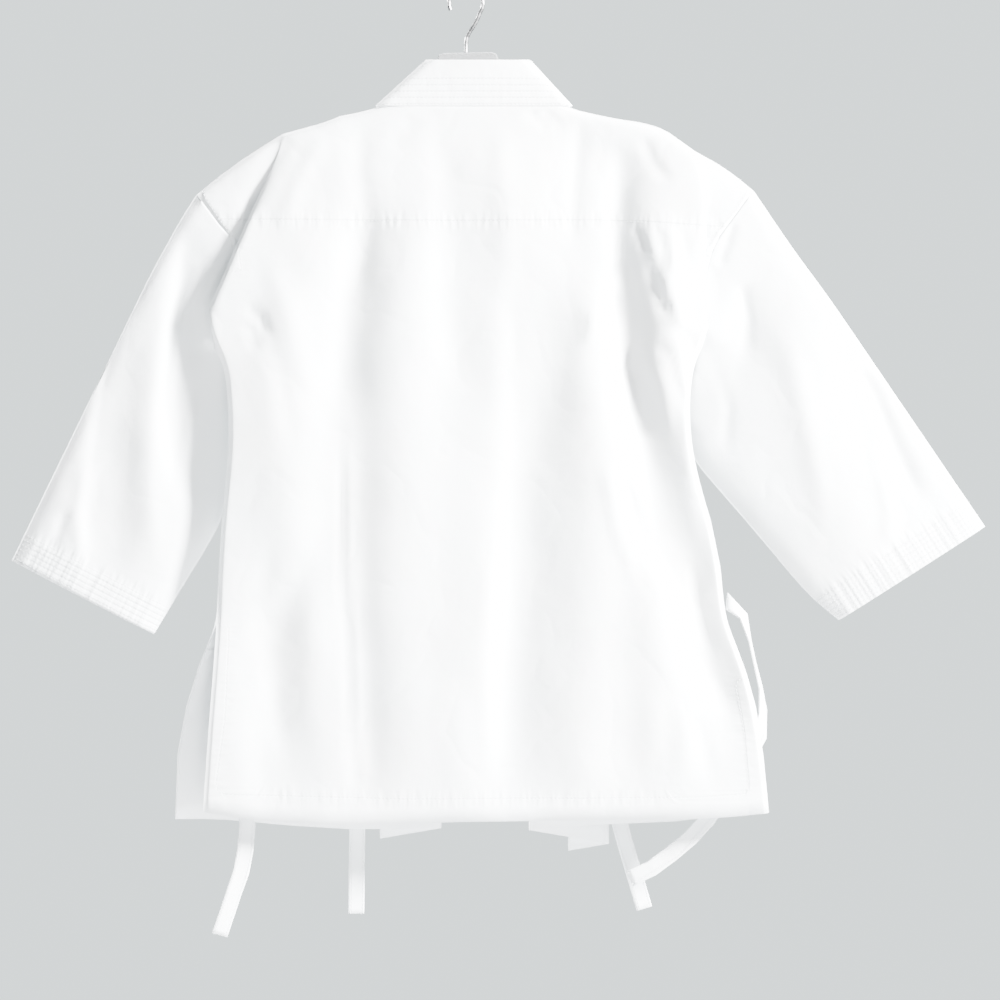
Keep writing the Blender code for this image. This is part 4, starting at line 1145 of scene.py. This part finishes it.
# %% The wall
world = bpy.data.worlds.new("studio")
bpy.context.scene.world = world
world.use_nodes = True
WALL_COLOR = (0.62, 0.69, 0.70, 1)
SEEN_STRENGTH = 2.5         # how bright the wall of the studio looks
LIT_STRENGTH = 0.22         # how much of it falls on the cloth
wall = world.node_tree
background = wall.nodes["Background"]
background.inputs["Color"].default_value = WALL_COLOR
camera_ray = wall.nodes.new("ShaderNodeLightPath").outputs["Is Camera Ray"]
more_seen = math_node(wall, "MULTIPLY", camera_ray, SEEN_STRENGTH - LIT_STRENGTH)
wall.links.new(math_node(wall, "ADD", more_seen, LIT_STRENGTH), background.inputs["Strength"])
print("the wall looks", round(SEEN_STRENGTH / LIT_STRENGTH, 1), "times as bright as it lights")

# %% [markdown]
# The floor is a wide disc far below the jacket.

# %% The floor
FLOOR_DROP, FLOOR_RADIUS, FLOOR_THICKNESS = 1.8, 2.5, 0.02
bpy.ops.mesh.primitive_cylinder_add(vertices=96, radius=FLOOR_RADIUS, depth=FLOOR_THICKNESS,
                                    location=(0, 0, -FLOOR_DROP - FLOOR_THICKNESS / 2))
floor = bpy.context.object
floor.name = "floor"
bpy.ops.object.transform_apply(location=True, rotation=True, scale=True)
pale_floor, _ = scuffed("pale_floor", (0.62, 0.63, 0.64, 1), base_roughness=0.5, spread=0.2, scale=4.0)
floor.data.materials.append(pale_floor)
print("the floor lies", FLOOR_DROP, "m below the hook")

# %% [markdown]
# Each lamp is a round, soft one. The smaller it is, the crisper are the edges of the folds' shadows, so
# the two strong ones are small and the weak ones large.

# %% The lamps
CHEST = (0, 0, -0.5)
HEM = (0, 0, -0.85)


def soft_light(name, place, aim, size, watts):
    data = bpy.data.lights.new(name, "AREA")
    data.shape = "DISK"
    data.size = size
    data.energy = watts
    light = bpy.data.objects.new(name, data)
    bpy.context.scene.collection.objects.link(light)
    light.location = place
    light.rotation_euler = (Vector(aim) - Vector(place)).to_track_quat("-Z", "Y").to_euler()
    print("lamp", name, "gives", watts, "W")


soft_light("key", (-2.9, 1.5, 0.9), CHEST, size=0.7, watts=2900)
soft_light("fill", (1.6, 3.0, 0.6), CHEST, size=1.6, watts=25)
soft_light("hem_fill", (-0.6, 2.4, -1.6), HEM, size=0.8, watts=45)
soft_light("front_key", (2.9, -1.5, 0.9), CHEST, size=0.7, watts=1150)
soft_light("front_fill", (-1.6, -3.0, 0.6), CHEST, size=1.6, watts=35)

# %% [markdown]
# ## What each piece belongs to
# All pieces hang together in one body, and each cloth shell takes the place of its solid. The cut of each
# sheet of cloth is listed here in metres, width by length, all round where it is a tube.

# %% Bodies and the cuts of the cloth
Cut = namedtuple("Cut", "width length area rests_on")
CUTS = {
    "back": Cut(0.600, 0.712, 0.382, ["hanger"]),
    "front_left": Cut(0.270, 0.722, 0.152, ["hanger", "back_cloth"]),
    "front_right": Cut(0.310, 0.722, 0.157, ["hanger", "back_cloth"]),
    "lapel_left": Cut(0.050, 0.750, None, ["front_left_cloth"]),
    "lapel_right": Cut(0.050, 0.750, None, ["front_right_cloth"]),
    "collar": Cut(0.200, 0.047, 0.0076, ["back_cloth"]),
    "sleeve_left": Cut(0.330, 0.410, 0.107, ["back_cloth"]),
    "sleeve_right": Cut(0.360, 0.410, 0.133, ["back_cloth"]),
    "tie_side_left": Cut(0.016, 0.320, None, ["back_cloth"]),
    "tie_side_right": Cut(0.016, 0.345, None, ["back_cloth"]),
    "tie_front_left": Cut(0.016, 0.315, None, ["lapel_left_cloth"]),
    "tie_front_right": Cut(0.016, 0.325, None, ["lapel_right_cloth"]),
}
for name, shell in shells.items():
    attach(shell, "root")
    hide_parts(name)
for name, thread in threads.items():
    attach(thread, "root")
for name, cut in CUTS.items():
    sewn_on = [threads[name + "_thread"]]
    if name == "back":
        sewn_on.append(threads["yoke_thread"])
    shells[name]
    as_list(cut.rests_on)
    print(name, "is cut", cut.width, "by", cut.length, "m")
